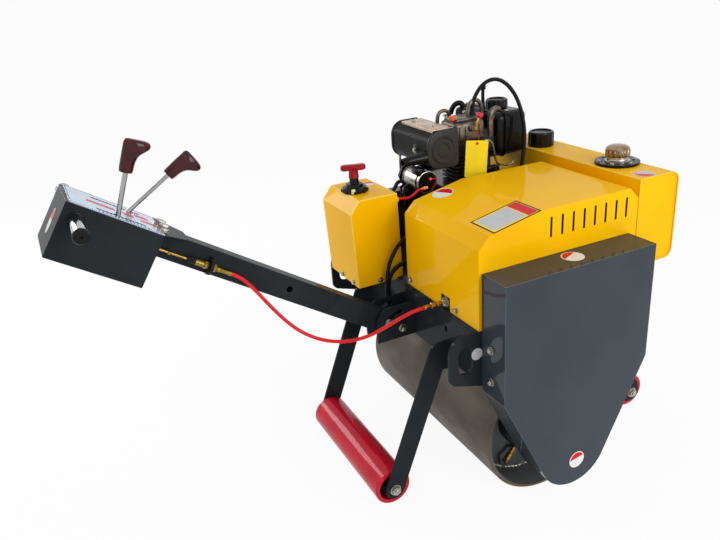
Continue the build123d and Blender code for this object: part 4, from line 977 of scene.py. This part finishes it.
# cable gland in the hood's port: long brass gland through a black plate
gland = pointing((-316, -210, 626), forward)
glandPieces = [turned([(0, 5.6), (2, 6.4), (14, 6.4), (16, 5.4), (42, 5.4), (44, 7), (54, 7), (97, 5.5)], gland, 32),
               turned([(22, 7.4), (23, 8.6), (33, 8.6), (34, 7.4)], gland, 6)]
settle(glandPieces, "cableGland", "turnedBrass", node="cable_gland", smooth=30)
portPlate = block((-246.3, -241, 605.5), (-242.5, -184, 646), 1)
vents = {"first": -26, "pitch": 36.3, "count": 8, "middle": 841, "height": 56, "width": 6.4, "lip": 0.9}


def ventShadeCup(x):
    # painted shade: a black cup round the slot, its floor sunk behind the sheet, standing in for the dark inside of
    # the hood
    half, width = vents["height"] / 2, vents["width"] / 2
    outline = [(y, x) for x, y in roundedBox((-half, -width), (half, width), (3.1,) * 4, 4)]
    piece = plate(outline, 2.6, facing((x, -367.8, vents["middle"]), forward, upward), 0)
    alone(piece)
    for face in piece.data.polygons:
        face.select = face.normal.y < -0.9
    bpy.ops.object.mode_set(mode="EDIT")
    bpy.ops.mesh.select_mode(type="FACE")
    bpy.ops.mesh.inset(thickness=vents["lip"])
    bpy.ops.mesh.extrude_region_move(TRANSFORM_OT_translate={"value": (0, 1.9, 0)})
    closeMesh()
    return piece


ventShadeCups = [ventShadeCup(vents["first"] + vents["pitch"] * i) for i in range(vents["count"])]
# the black of the vent cups is painted shade; the port plate is the gland's plate
settle([portPlate, *ventShadeCups], "hoodPortAndVentShade", "blackRubber")


# drum ends: weld bead inside the shell, bearing block, its grease fitting, a web, and a pale grey lining on the
# shell's inner wall that is painted light
drumEnds = {"axle": 204, "weld": (257, 189.5, 4.5), "ripples": (0.34, 90), "bearing": 255.8,
            "greaser": (90, 274, 62), "web": (256, 12), "lining": (303, 191.9, 86, 0.6)}


def endBoard(side, y):
    # a board on the drum's axle that looks out of this end
    return pointing((0, side * y, drumEnds["axle"]), (0, side, 0))


def weldBead(side):
    place, radius, thick = drumEnds["weld"]
    rise, count = drumEnds["ripples"]
    bpy.ops.mesh.primitive_torus_add(major_segments=360, minor_segments=8, major_radius=radius, minor_radius=thick)
    bead = bpy.context.object
    for vertex in bead.data.vertices:
        x, y, z = vertex.co
        wave = 1 + rise * math.cos(math.atan2(y, x) * count + z)
        outer = math.hypot(x, y)
        scale = (radius + (outer - radius) * wave) / outer
        vertex.co = (x * scale, y * scale, z * wave)
    return laid(bead, endBoard(side, place))


def drumWeb(side):
    place, thick = drumEnds["web"]
    board = facing((0, side * place + (thick if side > 0 else 0), drumEnds["axle"]), forward, upward)
    return plate([(side * x, z) for x, z in ((100, -150), (104, -118), (74, -96), (40, -100), (48, -168))], thick,
                 board, 2, 2)


# painted light: a thin pale grey sleeve on the bare steel inside each end, lighter than the steel to stand in for
# light falling into the drum
def drumLitLining(side):
    place, radius, depth, thick = drumEnds["lining"]
    bpy.ops.mesh.primitive_cylinder_add(vertices=144, radius=radius, depth=depth, end_fill_type="NOTHING")
    wall = bpy.context.object.modifiers.new("wall", "SOLIDIFY")
    wall.thickness, wall.offset = thick, -1
    bpy.ops.object.modifier_apply(modifier=wall.name)
    return laid(bpy.context.object, endBoard(side, place))


sides = (-1, 1)
x, y, z = drumEnds["greaser"]
bearings = [turned([(0, 100), (2, 104), (24, 104), (28, 100), (28, 72), (32, 68), (46, 66), (50, 60)],
                   endBoard(side, drumEnds["bearing"]), 72) for side in sides]
greasers = [turned([(0, 7), (3, 9), (8, 9), (11, 6), (13, 6), (14, 8.5), (34, 8.5), (36, 6.5), (56, 6.5), (58, 4)],
                   pointing((side * x, side * y, z), (side * -0.61, 0, 0.79)), 12) for side in sides]
settle([weldBead(side) for side in sides], "drumWelds", "weldMetal", "drum")
settle(bearings, "drumBearings", "frameEnamel", "drum")
settle(greasers, "drumGreasers", "turnedBrass", "drum")
settle([drumWeb(side) for side in sides], "drumWebs", "discPrimer", "drum")
# the pale lining is painted light on the drum's inner wall
settle([drumLitLining(side) for side in sides], "drumLitLinings", "discPrimer", "drum")
for master in masters.values():
    bpy.data.objects.remove(master)
print("drum ends made")


for node, (finish, *edges) in softened.items():
    soften(node, finish, *edges)
print("eased", len(softened))

# floor, background and light
studio = {"floor": "#F2F2F2", "ambient": 0.66, "glow": 0.93, "lamps": {
    "key": {"spot": (0.7, -3.3, 1.9), "size": 2.0, "power": 58},
    "window": {"spot": (-2.0, 2.6, 1.8), "size": 1.1, "power": 30}}}
bpy.ops.mesh.primitive_plane_add(size=400)
floor = bpy.context.object
floor.name = "floor"
# matt off-white board under the machine, as bright as the background wherever it is seen
ground = bpy.data.materials.new("paleFloor")
ground.use_nodes = True
tree = ground.node_tree
shader = tree.nodes["Principled BSDF"]
shader.inputs["Base Color"].default_value = linear(studio["floor"])
shader.inputs["Roughness"].default_value = 0.9


def backdropRays(tree):
    # true where the floor or sky is seen by the camera, in a reflection or through glass
    rays = addNode(tree, "LightPath", {}).outputs
    seen = addNode(tree, "Math", {0: rays["Is Camera Ray"], 1: rays["Is Glossy Ray"]}, operation="MAXIMUM")
    seen = addNode(tree, "Math", {0: seen.outputs[0], 1: rays["Is Transmission Ray"]}, operation="MAXIMUM")
    return seen.outputs[0]


glow = addNode(tree, "Emission", {"Color": (1, 1, 1, 1), "Strength": 1.0})
share = addNode(tree, "Math", {0: backdropRays(tree), 1: studio["glow"]}, operation="MULTIPLY")
mix = addNode(tree, "MixShader", {0: share.outputs[0], 1: shader.outputs[0], 2: glow.outputs[0]})
tree.links.new(mix.outputs[0], tree.nodes["Material Output"].inputs["Surface"])
floor.data.materials.append(ground)

world = bpy.data.worlds.new("studio")
bpy.context.scene.world = world
world.use_nodes = True
tree = world.node_tree
sky = tree.nodes["Background"]
sky.inputs["Color"].default_value = (1, 1, 1, 1)
strength = addNode(tree, "MapRange", {"Value": backdropRays(tree), "To Min": studio["ambient"], "To Max": 1.0})
tree.links.new(strength.outputs["Result"], sky.inputs["Strength"])

for name, lamp in studio["lamps"].items():
    bpy.ops.object.light_add(type="AREA", location=lamp["spot"])
    light = bpy.context.object
    light.name = name
    light.data.energy, light.data.size = lamp["power"], lamp["size"]
    light.rotation_euler = (Vector((-0.1, 0, 0.5)) - Vector(lamp["spot"])).to_track_quat("-Z", "Y").to_euler()
bpy.context.scene.view_settings.view_transform = "Standard"

print("ready")
